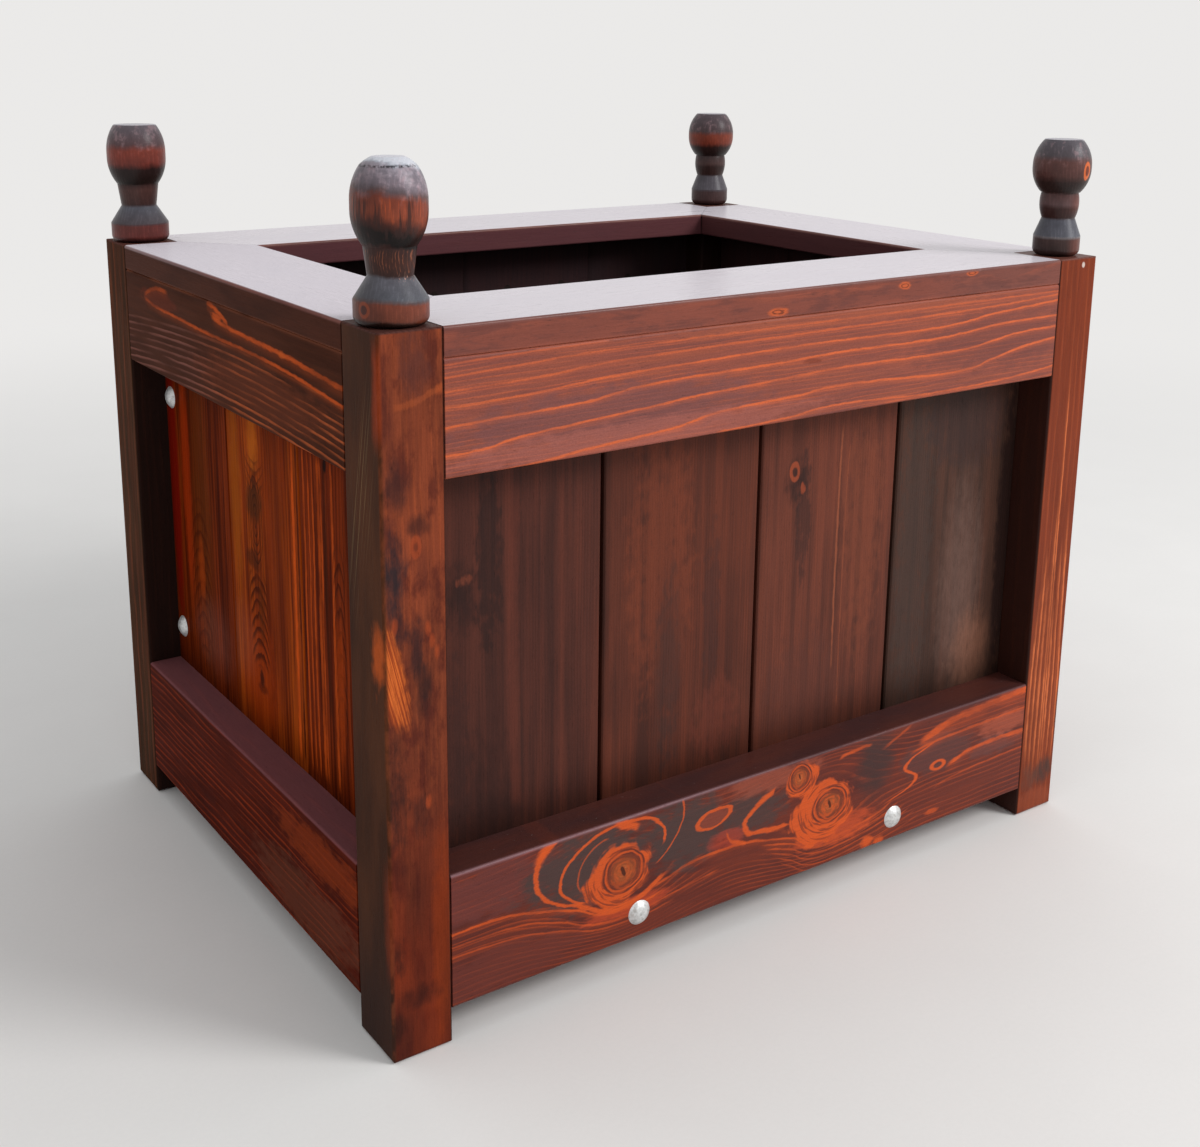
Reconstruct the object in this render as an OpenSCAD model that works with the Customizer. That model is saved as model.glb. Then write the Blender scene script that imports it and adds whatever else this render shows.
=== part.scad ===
// Finial planter: a free-standing wooden planter box. Four corner posts carry turned finials,
// a mitred cap frame lies flush with the post tops, and rails, upright shiplap boards and a
// slatted floor close the box. Dowels, splines, screws and carriage bolts hold it together.
// Millimetres. The origin is on the ground at the middle of the planter, X runs along its
// length, the front faces -Y and Z points up.

/* [Overall] */
// Length over the corner posts
planter_l = 762; // [680:2:860]
// Depth over the corner posts
planter_w = 588; // [520:2:680]
// Height of the posts and of the cap's top face
post_h = 572; // [500:2:680]

/* [Posts] */
// Post section along the length
post_x = 52; // [46:1:60]
// Post section along the depth
post_y = 57; // [52:1:66]
// Rounding of the posts' upright edges
post_edge_r = 2.5; // [1:0.5:4]
// Rounding round the foot of each post
foot_r = 4; // [2:0.5:8]
// Rounding round the top of each post
post_top_r = 1.5; // [0.5:0.5:3]

/* [Rails] */
// Height of the top rails
top_rail_h = 89; // [76:1:110]
// Height of the bottom rails
bottom_rail_h = 115; // [105:1:140]
// Clear height under the bottom rails
ground_gap = 30; // [15:1:50]
// Rounding of the rails' outer long edges
rail_edge_r = 2.5; // [1:0.5:5]
// Gap where a piece butts against a post or another board
seam = 0.3; // [0.1:0.05:0.4]

/* [Cap frame] */
// Thickness of the cap boards
cap_t = 23; // [19:1:28]
// Width of the front and back cap boards
cap_long_w = 120; // [104:1:140]
// Width of the side cap boards
cap_side_w = 110; // [98:1:130]
// Rounding of the cap boards' long edges
cap_edge_r = 2; // [1:0.5:4]
// Gap left on each side of a mitre
mitre_gap = 0.2; // [0.1:0.05:0.3]
// Length of the spline hidden in each mitre
spline_l = 54; // [40:1:60]
// Width of each mitre spline
spline_w = 26; // [18:1:34]
// Thickness of each mitre spline
spline_t = 4; // [3:0.5:6]

/* [Panel boards] */
// Thickness of the boards, whose inner faces lie flush with the posts
board_t = 20; // [16:1:24]
// Gap that shows between the front boards and between the back boards
long_reveal = 3.5; // [1:0.5:6]
// Gap that shows between the side boards
side_reveal = 0.8; // [0.4:0.2:5]
// Overlap of each shiplap joint
lap_w = 8; // [5:1:12]
// Clearance inside each shiplap joint
lap_clear = 0.3; // [0.2:0.05:0.5]
// Bevel along the boards' outer edges
board_bevel = 1.2; // [0.5:0.1:2.5]
// Height of the boards' lower ends above the underside of the bottom rails
board_lift = 4; // [2:1:10]

/* [Battens and floor] */
// Side of the square corner battens
batten_s = 30; // [27:1:36]
// Rounding of the battens' and slats' exposed edges
inner_edge_r = 3; // [1:0.5:5]
// Thickness of the floor ledgers
ledger_t = 30; // [24:1:36]
// Height of the floor ledgers
ledger_h = 38; // [36:1:44]
// Height of the ledgers above the underside of the bottom rails
ledger_lift = 4; // [2:1:10]
// Thickness of the floor slats
slat_t = 19; // [15:1:22]
// Drainage gap beside each floor slat
slat_gap = 10; // [6:1:18]

/* [Carriage bolts] */
// Shank diameter of the bolts
bolt_d = 9.5; // [8:0.5:10]
// Diameter of the domed heads
bolt_head_d = 22; // [18:0.5:25]
// Height of the domed heads
bolt_head_h = 5.2; // [4:0.2:7]
// Depth of the square neck under each head
bolt_neck_h = 6; // [4:0.5:8]
// Length of shank past each nut
bolt_tail = 3; // [1:0.5:6]
// Radial clearance round the bolts in the wood
bolt_clear = 0.25; // [0.1:0.05:0.5]
// Outer diameter of the washers
washer_d = 25; // [20:0.5:28]
// Thickness of the washers
washer_t = 2; // [1.5:0.1:3]
// Width of the nuts across their flats
nut_af = 14.3; // [13:0.1:17]
// Height of the nuts
nut_h = 8.3; // [6:0.1:10]
// Radial clearance between a bolt and its nut or washer
nut_clear = 0.05; // [0.02:0.01:0.1]
// Distance of the bottom rail bolts from the middle of the planter
rail_bolt_x = 149; // [100:1:200]
// Distance of the panel bolts from the edges of the rails
panel_bolt_inset = 38; // [28:1:60]

/* [Finials, both pairs] */
// Radius round the lower edge of each finial's foot
finial_foot_r = 6.5; // [3:0.5:8]
// Width of the eased edge round the flat on top
finial_ease = 0.8; // [0.3:0.1:1.5]
// Diameter of the dowel under each finial
finial_dowel_d = 12; // [8:0.5:14]
// Depth of the finial dowel in the post
finial_dowel_down = 32; // [20:1:34]
// Depth of the finial dowel in the finial
finial_dowel_up = 30; // [20:1:45]

/* [Finials, left pair] */
// Height of the left finials, to the flat on top
left_h = 111.6; // [106:0.2:124]
// Diameter of the flat on top
left_top_d = 38.8; // [32:0.2:44]
// Largest diameter of the ball
left_ball_d = 54.8; // [52:0.2:60]
// Height up to which the ball widens
left_ball_low_z = 80; // [74:0.5:82]
// Height from which the ball narrows again
left_ball_high_z = 87; // [84:0.5:92]
// Diameter where the ball meets the neck
left_ball_foot_d = 38.4; // [36:0.2:44]
// Height where the ball meets the neck
left_ball_foot_z = 55.5; // [50:0.5:62]
// Smallest diameter of the neck
left_neck_d = 32.8; // [28:0.2:35]
// Height of the bottom of the neck
left_neck_z = 34.6; // [32:0.2:44]
// Diameter of the foot
left_foot_d = 54; // [46:0.2:57]
// Height of the foot's upright band
left_foot_h = 18.2; // [14:0.2:26]
// Height of the dome on the front left finial, above its flat
left_dome_h = 5.2; // [3:0.1:7]
// Diameter of the small flat on that dome
left_dome_top_d = 23; // [16:0.5:26]

/* [Finials, right pair] */
// Height of the right finials
right_h = 109.2; // [104:0.2:124]
// Diameter of the flat on top
right_top_d = 34.4; // [30:0.2:42]
// Largest diameter of the ball
right_ball_d = 54; // [52:0.2:60]
// Height up to which the ball widens
right_ball_low_z = 82; // [76:0.5:83]
// Height from which the ball narrows again
right_ball_high_z = 85; // [84:0.5:92]
// Diameter where the ball meets the neck
right_ball_foot_d = 35.4; // [33:0.2:36]
// Height where the ball meets the neck
right_ball_foot_z = 59.2; // [56:0.2:64]
// Diameter of the bead on the neck
right_bead_d = 36.6; // [35:0.2:42]
// Height of the bead's largest diameter
right_bead_z = 50; // [46:0.5:54]
// Radius of the groove turned between the ball and the bead
right_groove_r = 0.9; // [0.4:0.1:1.5]
// Smallest diameter of the neck
right_neck_d = 30.8; // [26:0.2:33]
// Height of the bottom of the neck
right_neck_z = 35.5; // [32:0.5:42]
// Diameter of the foot
right_foot_d = 43.6; // [40:0.2:56]
// Height of the foot's upright band
right_foot_h = 18.7; // [14:0.1:26]

/* [Dowels and screws] */
// Diameter of the dowels between rails and posts
rail_dowel_d = 10; // [8:0.5:11]
// Length of the dowels between rails and posts
rail_dowel_l = 50; // [36:1:52]
// Distance of these dowels from the rails' upper and lower edges
rail_dowel_inset = 24; // [20:1:30]
// Diameter of the dowels between cap and top rails
cap_dowel_d = 8; // [6:0.5:10]
// Depth of these dowels in the cap
cap_dowel_up = 14; // [8:1:15]
// Depth of these dowels in the top rails
cap_dowel_down = 16; // [10:1:24]
// Distance of the outer cap dowels of the long walls from the middle
cap_dowel_long_x = 230; // [160:1:250]
// Distance of the cap dowels of the side walls from the middle
cap_dowel_side_x = 140; // [100:1:170]
// Radial clearance round every dowel and spline
dowel_clear = 0.1; // [0.05:0.05:0.2]
// Clearance past the ends of every dowel and spline
dowel_end = 1; // [0.5:0.1:1.5]
// Shank diameter of the screws
screw_d = 4.5; // [3.5:0.1:5]
// Head diameter of the screws
screw_head_d = 9; // [7:0.5:10]
// Depth of the countersunk heads
screw_head_h = 2.8; // [2:0.2:4]
// Clearance round the screws
screw_clear = 0.05; // [0.02:0.01:0.1]
// Length of the screws that hold the boards to the rails
board_screw_l = 42; // [34:1:46]
// Distance of the board screws from each board's outer edges
board_screw_inset = 45; // [40:1:60]
// Distance of the board screws from the rails' inner edges
board_screw_drop = 35; // [30:1:45]
// Length of the screws that hold the battens to the long walls
batten_screw_l = 62; // [54:1:63]
// Distance of the batten screws from the rails' inner edges
batten_screw_inset = 14; // [11:1:15]
// Length of the screws that hold the slats to the ledgers
slat_screw_l = 32; // [26:1:33]
// Distance of the slat screws from each slat's edges
slat_screw_inset = 18; // [12:1:24]

/* [Hidden] */
$fn = 64;

// Numbers of boards in a long wall and in a side wall, and of slats in the floor
long_boards = 4;
side_boards = 3;
slats = 7;

// Colours of the stained timber, its darker tops and feet, the hidden timber and the zinc
rail_colour = [0.36, 0.13, 0.08];
post_colour = [0.40, 0.13, 0.07];
cap_colour = [0.33, 0.19, 0.17];
board_colour = [0.28, 0.10, 0.07];
side_board_colour = [0.42, 0.15, 0.07];
finial_colour = [0.34, 0.16, 0.13];
inner_colour = [0.22, 0.10, 0.08];
dowel_colour = [0.72, 0.55, 0.36];
zinc_colour = [0.70, 0.71, 0.70];

// Outer faces, and the posts' inner faces, as distances from the middle
half_l = planter_l / 2;
half_w = planter_w / 2;
in_x = half_l - post_x;
in_y = half_w - post_y;
post_cx = half_l - post_x / 2;
post_cy = half_w - post_y / 2;

// Rail thickness: a rail and the boards behind it are together as deep as a post
long_rail_t = post_y - board_t;
side_rail_t = post_x - board_t;

// Levels of the rails, boards, ledgers and floor
rail_top_z = post_h - cap_t;
top_rail_z = rail_top_z - top_rail_h;
bottom_rail_top = ground_gap + bottom_rail_h;
board_z = ground_gap + board_lift;
board_l = rail_top_z - seam - board_z;
ledger_z = ground_gap + ledger_lift;
slat_z = ledger_z + ledger_h;
floor_z = slat_z + slat_t;
slat_w = (2 * in_x - (slats + 1) * slat_gap) / slats;

// Half length and half depth of the opening in the cap
open_x = half_l - cap_side_w;
open_y = half_w - cap_long_w;

// Levels of the fasteners
rail_dowel_zs = [
    ground_gap + rail_dowel_inset,
    bottom_rail_top - rail_dowel_inset,
    top_rail_z + rail_dowel_inset,
    rail_top_z - rail_dowel_inset
];
board_screw_zs = [bottom_rail_top - board_screw_drop, top_rail_z + board_screw_drop];
batten_screw_zs = [bottom_rail_top - batten_screw_inset, top_rail_z + batten_screw_inset];
rail_bolt_z = ledger_z + ledger_h / 2;
panel_bolt_zs = [bottom_rail_top + panel_bolt_inset, top_rail_z - panel_bolt_inset];

// What each kind of bolt clamps between its head and its washer
rail_grip = post_y + ledger_t;
panel_grip = board_t + batten_s;

// Small distances: how far a cutter runs past a face, and a screw's rim and point
past = 1;
screw_rim = 0.5;
screw_tip = 5;

// Steps in which a finial's large arcs are turned
arc_steps = 12;

// Radius of an arc that is upright at its widest point and falls in by dr over dz
function arc_r(dr, dz) = (dr * dr + dz * dz) / (2 * dr);

// Width of one board's face, and where board i starts along its wall
function face_w(span, count, reveal) = (span - 2 * seam - (count - 1) * reveal) / count;
function face_x(span, count, reveal, i) =
    -span / 2 + seam + i * (face_w(span, count, reveal) + reveal);

// Places of the walls: children are drawn with the wall's outer face at y = 0, facing -Y
module on_front() translate([0, -half_w, 0]) children();
module on_back() rotate([0, 0, 180]) translate([0, -half_w, 0]) children();
module on_left() rotate([0, 0, -90]) translate([0, -half_l, 0]) children();
module on_right() rotate([0, 0, 90]) translate([0, -half_l, 0]) children();
module on_long_walls() {
    on_front() children();
    on_back() children();
}
module on_side_walls() {
    on_left() children();
    on_right() children();
}

// Places of the corners: children are drawn for the front left corner
module at_corner(right, back) mirror([right, 0, 0]) mirror([0, back, 0]) children();
module at_each_corner() {
    at_corner(0, 0) children();
    at_corner(1, 0) children();
    at_corner(0, 1) children();
    at_corner(1, 1) children();
}

// Rectangle with all four corners rounded
module eased_rect(w, h, r) {
    translate([r, 0]) square([w - 2 * r, h]);
    translate([0, r]) square([w, h - 2 * r]);
    for (x = [r, w - r], y = [r, h - r]) translate([x, y]) circle(r);
}

// Rectangle with the two corners at x = 0 rounded
module outer_eased_rect(w, h, r) {
    translate([r, 0]) square([w - r, h]);
    translate([0, r]) square([w, h - 2 * r]);
    for (y = [r, h - r]) translate([r, y]) circle(r);
}

// Elevation of a post: rounded feet below, lightly eased corners on top
module post_outline(w) {
    mid = post_h / 2;
    translate([foot_r, 0]) square([w - 2 * foot_r, mid]);
    translate([0, foot_r]) square([w, mid - foot_r]);
    for (x = [foot_r, w - foot_r]) translate([x, foot_r]) circle(foot_r);
    translate([post_top_r, mid]) square([w - 2 * post_top_r, post_h - mid]);
    translate([0, mid]) square([w, post_h - mid - post_top_r]);
    for (x = [post_top_r, w - post_top_r]) translate([x, post_h - post_top_r]) circle(post_top_r);
}

// Dowels of one corner, or with grow above zero the bores that take them
module corner_dowels(grow) {
    d = rail_dowel_d + 2 * grow;
    l = rail_dowel_l + (grow > 0 ? 2 * dowel_end : 0);
    for (z = rail_dowel_zs) {
        translate([-in_x, -half_w + long_rail_t / 2, z])
            rotate([0, 90, 0]) cylinder(d = d, h = l, center = true);
        translate([-half_l + side_rail_t / 2, -in_y, z])
            rotate([90, 0, 0]) cylinder(d = d, h = l, center = true);
    }
}

// Dowel between a post and its finial, or with grow above zero its bore
module finial_dowel(grow) {
    end = grow > 0 ? dowel_end : 0;
    translate([-post_cx, -post_cy, post_h - finial_dowel_down - end])
        cylinder(d = finial_dowel_d + 2 * grow, h = finial_dowel_down + finial_dowel_up + 2 * end);
}

// Dowels between a top rail of thickness t and its cap board, or their bores
module wall_cap_dowels(xs, t, grow) {
    end = grow > 0 ? dowel_end : 0;
    for (x = xs)
        translate([x, t / 2, rail_top_z - cap_dowel_down - end])
            cylinder(d = cap_dowel_d + 2 * grow, h = cap_dowel_down + cap_dowel_up + 2 * end);
}
module long_cap_dowels(grow)
    wall_cap_dowels([-cap_dowel_long_x, 0, cap_dowel_long_x], long_rail_t, grow);
module side_cap_dowels(grow)
    wall_cap_dowels([-cap_dowel_side_x, cap_dowel_side_x], side_rail_t, grow);

// Spline across the front left mitre, or with grow above zero its slot
module mitre_spline(grow) {
    end = grow > 0 ? dowel_end : 0;
    size = [spline_l + 2 * end, spline_w + 2 * end, spline_t + 2 * grow];
    translate([-(in_x + open_x) / 2, -(in_y + open_y) / 2, rail_top_z + cap_t / 2])
        rotate([0, 0, atan2(in_y - open_y, in_x - open_x)]) cube(size, center = true);
}

// Countersunk screw pointing down from z = 0, or with grow above zero its pilot hole
module screw(l, grow) {
    r = screw_d / 2 + grow;
    head = screw_head_d / 2 + grow;
    top = grow > 0 ? past : 0;
    end = grow > 0 ? past : 0;
    rotate_extrude() polygon([
        [0, top], [head, top], [head, -screw_rim - grow], [r, -screw_head_h - grow],
        [r, -l + screw_tip - end], [0, -l - end]
    ]);
}

// Screws through board i of a wall into both rails, from the inside of a wall of that depth
module board_screw_set(span, count, reveal, i, depth, grow) {
    w = face_w(span, count, reveal);
    x0 = face_x(span, count, reveal, i);
    for (x = [x0 + board_screw_inset, x0 + w - board_screw_inset], z = board_screw_zs)
        translate([x, depth, z]) rotate([-90, 0, 0]) screw(board_screw_l, grow);
}
module long_board_screws(i, grow)
    board_screw_set(2 * in_x, long_boards, long_reveal, i, post_y, grow);
module side_board_screws(i, grow)
    board_screw_set(2 * in_y, side_boards, side_reveal, i, post_x, grow);
module all_long_board_screws(grow) for (i = [0 : long_boards - 1]) long_board_screws(i, grow);
module all_side_board_screws(grow) for (i = [0 : side_boards - 1]) side_board_screws(i, grow);

// Screws through the two battens of a long wall
module wall_batten_screws(grow)
    for (side = [-1, 1], z = batten_screw_zs)
        translate([side * (in_x - batten_s / 2), post_y + batten_s, z])
            rotate([-90, 0, 0]) screw(batten_screw_l, grow);

// Screws through slat i into both ledgers
module slat_screw_set(i, grow)
    for (side = [-1, 1], edge = [-1, 1])
        translate([
            slat_x(i) + side * (slat_w / 2 - slat_screw_inset),
            edge * (in_y - ledger_t / 2),
            floor_z
        ]) screw(slat_screw_l, grow);
function slat_x(i) = -in_x + slat_gap + slat_w / 2 + i * (slat_w + slat_gap);

// Carriage bolt along +Y with its head's underside at y = 0
module carriage_bolt(grip) {
    shank_l = grip + washer_t + nut_h + bolt_tail;
    dome_r = arc_r(bolt_head_h, bolt_head_d / 2);
    rotate([-90, 0, 0]) {
        rotate_extrude() intersection() {
            translate([0, dome_r - bolt_head_h]) circle(dome_r);
            translate([0, -bolt_head_h]) square([bolt_head_d / 2, bolt_head_h]);
        }
        translate([-bolt_d / 2, -bolt_d / 2, 0]) cube([bolt_d, bolt_d, bolt_neck_h]);
        cylinder(d = bolt_d, h = shank_l - past);
        translate([0, 0, shank_l - past]) cylinder(d1 = bolt_d, d2 = bolt_d - 2 * past, h = past);
    }
}

// Hole for a carriage bolt, with the square recess of its neck
module bolt_hole(grip) {
    side = bolt_d + 2 * bolt_clear;
    rotate([-90, 0, 0]) {
        translate([0, 0, -past]) cylinder(d = side, h = grip + 2 * past);
        translate([-side / 2, -side / 2, -past])
            cube([side, side, bolt_neck_h + bolt_clear + past]);
    }
}

// Places of the bolts on a long wall and on a side wall
module at_rail_bolts() for (side = [-1, 1]) translate([side * rail_bolt_x, 0, rail_bolt_z]) children();
module at_panel_bolts()
    for (side = [-1, 1], z = panel_bolt_zs)
        translate([side * (in_y - batten_s / 2), side_rail_t, z]) children();

// Washer and nut, drawn along +Y from the face that the washer lies on
module washer()
    rotate([-90, 0, 0]) difference() {
        cylinder(d = washer_d, h = washer_t);
        translate([0, 0, -past]) cylinder(d = bolt_d + 2 * nut_clear, h = washer_t + 2 * past);
    }
module nut()
    translate([0, washer_t, 0]) rotate([-90, 0, 0]) difference() {
        cylinder(d = nut_af / cos(30), h = nut_h, $fn = 6);
        translate([0, 0, -past]) cylinder(d = bolt_d + 2 * nut_clear, h = nut_h + 2 * past);
    }

// Corner post: a plan and two elevations intersected, then bored
module post(right, back)
    color(post_colour) at_corner(right, back) difference() {
        translate([-half_l, -half_w, 0]) intersection() {
            linear_extrude(post_h) eased_rect(post_x, post_y, post_edge_r);
            translate([0, post_y, 0]) rotate([90, 0, 0]) linear_extrude(post_y) post_outline(post_x);
            rotate([90, 0, 90]) linear_extrude(post_x) post_outline(post_y);
        }
        corner_dowels(dowel_clear);
        finial_dowel(dowel_clear);
    }

// Slice of a finial between two heights, bounded by a large arc that is widest at z_mid
module arc_band(r_max, z_mid, rad, z0, z1) {
    a0 = asin((z0 - z_mid) / rad);
    a1 = asin((z1 - z_mid) / rad);
    step = (a1 - a0) / arc_steps;
    arc = [for (a = [0 : arc_steps]) [
        r_max - rad + rad * cos(a0 + a * step),
        z_mid + rad * sin(a0 + a * step)
    ]];
    polygon(concat([[0, z0]], arc, [[0, z1]]));
}

// Foot of a finial: a rounded disc and the cone up to the neck
module finial_foot(d, h, neck_d, neck_z) {
    r = finial_foot_r;
    square([d / 2 - r, h]);
    translate([0, r]) square([d / 2, h - r]);
    translate([d / 2 - r, r]) circle(r);
    polygon([[0, h], [d / 2, h], [neck_d / 2, neck_z], [0, neck_z]]);
}

// Ball of a finial: an arc up to its widest band, one above it, and an eased flat on top
module finial_ball(d, low_z, high_z, foot_d, foot_z, top_d, h) {
    ease = finial_ease;
    arc_band(d / 2, low_z, arc_r((d - foot_d) / 2, low_z - foot_z), foot_z, low_z);
    translate([0, low_z]) square([d / 2, high_z - low_z]);
    arc_band(d / 2, high_z, arc_r((d - top_d) / 2 - ease, h - ease - high_z), high_z, h - ease);
    polygon([[0, h - ease], [top_d / 2 + ease, h - ease], [top_d / 2, h], [0, h]]);
}

// Dome on a finial's flat: part of a ball whose middle lies on the turning axis
module finial_dome(d, top_d, h0, h) {
    middle = ((d * d - top_d * top_d) / 4 - h * h) / (2 * h);
    rad = sqrt(d * d / 4 + middle * middle);
    arc_band(rad, h0 - middle, rad, h0, h0 + h);
}

// Finial with a plain tapering neck, and finial with a bead on its neck
module left_finial_profile(domed) {
    finial_foot(left_foot_d, left_foot_h, left_neck_d, left_neck_z);
    polygon([
        [0, left_neck_z], [left_neck_d / 2, left_neck_z],
        [left_ball_foot_d / 2, left_ball_foot_z], [0, left_ball_foot_z]
    ]);
    finial_ball(left_ball_d, left_ball_low_z, left_ball_high_z,
        left_ball_foot_d, left_ball_foot_z, left_top_d, left_h);
    if (domed) finial_dome(left_top_d, left_dome_top_d, left_h, left_dome_h);
}
module right_finial_profile()
    difference() {
        union() {
            finial_foot(right_foot_d, right_foot_h, right_neck_d, right_neck_z);
            arc_band(right_bead_d / 2, right_bead_z,
                arc_r((right_bead_d - right_neck_d) / 2, right_bead_z - right_neck_z),
                right_neck_z, right_ball_foot_z);
            finial_ball(right_ball_d, right_ball_low_z, right_ball_high_z,
                right_ball_foot_d, right_ball_foot_z, right_top_d, right_h);
        }
        translate([right_ball_foot_d / 2 + right_groove_r / 2, right_ball_foot_z])
            circle(right_groove_r);
    }
module finial(right, back)
    color(finial_colour) at_corner(right, back) difference() {
        translate([-post_cx, -post_cy, post_h]) rotate_extrude() {
            if (right == 1) right_finial_profile();
            else left_finial_profile(back == 0);
        }
        finial_dowel(dowel_clear);
    }

// Cap board over a wall: butted between two posts, mitred to the corners of the opening
module cap_board(half_span, depth, w, half_open)
    translate([0, 0, rail_top_z]) intersection() {
        linear_extrude(cap_t) polygon([
            [-half_span + seam, 0], [half_span - seam, 0], [half_span - seam, depth],
            [half_open - mitre_gap, w], [-half_open + mitre_gap, w], [-half_span + seam, depth]
        ]);
        rotate([90, 0, 90]) linear_extrude(2 * half_span, center = true)
            eased_rect(w, cap_t, cap_edge_r);
    }
module long_cap(back)
    color(cap_colour) rotate([0, 0, 180 * back]) difference() {
        on_front() cap_board(in_x, post_y, cap_long_w, open_x);
        on_front() long_cap_dowels(dowel_clear);
        at_each_corner() mitre_spline(dowel_clear);
    }
module side_cap(right)
    color(cap_colour) rotate([0, 0, 180 * right]) difference() {
        on_left() cap_board(in_y, post_x, cap_side_w, open_y);
        on_left() side_cap_dowels(dowel_clear);
        at_each_corner() mitre_spline(dowel_clear);
    }

// Rail between two posts, its outer long edges eased
module rail(span, t, z, h)
    translate([0, 0, z]) rotate([90, 0, 90]) linear_extrude(span - 2 * seam, center = true)
        outer_eased_rect(t, h, rail_edge_r);
module long_rail(back, z, h)
    color(rail_colour) rotate([0, 0, 180 * back]) difference() {
        on_front() rail(2 * in_x, long_rail_t, z, h);
        at_each_corner() corner_dowels(dowel_clear);
        on_front() long_cap_dowels(dowel_clear);
        on_front() all_long_board_screws(screw_clear);
        on_front() wall_batten_screws(screw_clear);
        on_front() at_rail_bolts() bolt_hole(rail_grip);
    }
module side_rail(right, z, h)
    color(rail_colour) rotate([0, 0, 180 * right]) difference() {
        on_left() rail(2 * in_y, side_rail_t, z, h);
        at_each_corner() corner_dowels(dowel_clear);
        on_left() side_cap_dowels(dowel_clear);
        on_left() all_side_board_screws(screw_clear);
    }

// Section of shiplap board i: a face as wide as w, a lip on its left, a tongue on its right
module board_section(w, reveal, first, last) {
    half = board_t / 2;
    tongue_y = half + lap_clear;
    right_side = last
        ? [[w, board_t]]
        : [[w, tongue_y], [w + reveal + lap_w, tongue_y], [w + reveal + lap_w, board_t]];
    left_side = first
        ? [[0, board_t]]
        : [[lap_w + lap_clear, board_t], [lap_w + lap_clear, half], [0, half]];
    polygon(concat(
        [[board_bevel, 0], [w - board_bevel, 0], [w, board_bevel]],
        right_side, left_side, [[0, board_bevel]]
    ));
}
module board(span, count, reveal, i, rail_t)
    translate([face_x(span, count, reveal, i), rail_t, board_z]) linear_extrude(board_l)
        board_section(face_w(span, count, reveal), reveal, i == 0, i == count - 1);
module long_board(back, i)
    color(board_colour) rotate([0, 0, 180 * back]) on_front() difference() {
        board(2 * in_x, long_boards, long_reveal, i, long_rail_t);
        long_board_screws(i, screw_clear);
        wall_batten_screws(screw_clear);
        at_rail_bolts() bolt_hole(rail_grip);
    }
module side_board(right, i)
    color(side_board_colour) rotate([0, 0, 180 * right]) on_left() difference() {
        board(2 * in_y, side_boards, side_reveal, i, side_rail_t);
        side_board_screws(i, screw_clear);
        at_panel_bolts() bolt_hole(panel_grip);
    }

// Batten in a corner of the box, from the floor to the cap, its free edge rounded
module batten(right, back) {
    r = inner_edge_r;
    color(inner_colour) difference() {
        at_corner(right, back) translate([-in_x, -in_y, floor_z + seam])
            linear_extrude(rail_top_z - floor_z - 2 * seam) {
                square([batten_s, batten_s - r]);
                square([batten_s - r, batten_s]);
                translate([batten_s - r, batten_s - r]) circle(r);
            }
        on_long_walls() wall_batten_screws(screw_clear);
        on_side_walls() at_panel_bolts() bolt_hole(panel_grip);
    }
}

// Ledger along the inside of a long wall, which the rail bolts clamp and the slats lie on
module ledger(back)
    color(inner_colour) rotate([0, 0, 180 * back]) difference() {
        on_front() translate([-in_x + seam, post_y, ledger_z])
            cube([2 * (in_x - seam), ledger_t, ledger_h]);
        on_front() at_rail_bolts() bolt_hole(rail_grip);
        for (i = [0 : slats - 1]) slat_screw_set(i, screw_clear);
    }

// Floor slat i, lying across both ledgers
module floor_slat(i)
    color(inner_colour) difference() {
        translate([slat_x(i) - slat_w / 2, in_y - seam, slat_z]) rotate([90, 0, 0])
            linear_extrude(2 * (in_y - seam)) eased_rect(slat_w, slat_t, inner_edge_r);
        slat_screw_set(i, screw_clear);
    }

// Groups of like fasteners
module rail_dowels() color(dowel_colour) at_each_corner() corner_dowels(0);
module finial_dowels() color(dowel_colour) at_each_corner() finial_dowel(0);
module mitre_splines() color(dowel_colour) at_each_corner() mitre_spline(0);
module cap_dowels()
    color(dowel_colour) {
        on_long_walls() long_cap_dowels(0);
        on_side_walls() side_cap_dowels(0);
    }
module rail_bolts() color(zinc_colour) on_long_walls() at_rail_bolts() carriage_bolt(rail_grip);
module panel_bolts() color(zinc_colour) on_side_walls() at_panel_bolts() carriage_bolt(panel_grip);
module at_bolt_ends() {
    on_long_walls() at_rail_bolts() translate([0, rail_grip, 0]) children();
    on_side_walls() at_panel_bolts() translate([0, panel_grip, 0]) children();
}
module bolt_washers() color(zinc_colour) at_bolt_ends() washer();
module bolt_nuts() color(zinc_colour) at_bolt_ends() nut();
module board_screws()
    color(zinc_colour) {
        on_long_walls() all_long_board_screws(0);
        on_side_walls() all_side_board_screws(0);
    }
module batten_screws() color(zinc_colour) on_long_walls() wall_batten_screws(0);
module slat_screws() color(zinc_colour) for (i = [0 : slats - 1]) slat_screw_set(i, 0);

post(0, 0);  // post_front_left
post(1, 0);  // post_front_right
post(0, 1);  // post_back_left
post(1, 1);  // post_back_right
finial(0, 0);  // finial_front_left
finial(1, 0);  // finial_front_right
finial(0, 1);  // finial_back_left
finial(1, 1);  // finial_back_right
long_cap(0);  // cap_front
long_cap(1);  // cap_back
side_cap(0);  // cap_left
side_cap(1);  // cap_right
long_rail(0, top_rail_z, top_rail_h);  // top_rail_front
long_rail(1, top_rail_z, top_rail_h);  // top_rail_back
side_rail(0, top_rail_z, top_rail_h);  // top_rail_left
side_rail(1, top_rail_z, top_rail_h);  // top_rail_right
long_rail(0, ground_gap, bottom_rail_h);  // bottom_rail_front
long_rail(1, ground_gap, bottom_rail_h);  // bottom_rail_back
side_rail(0, ground_gap, bottom_rail_h);  // bottom_rail_left
side_rail(1, ground_gap, bottom_rail_h);  // bottom_rail_right
long_board(0, 0);  // front_board_1
long_board(0, 1);  // front_board_2
long_board(0, 2);  // front_board_3
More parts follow.
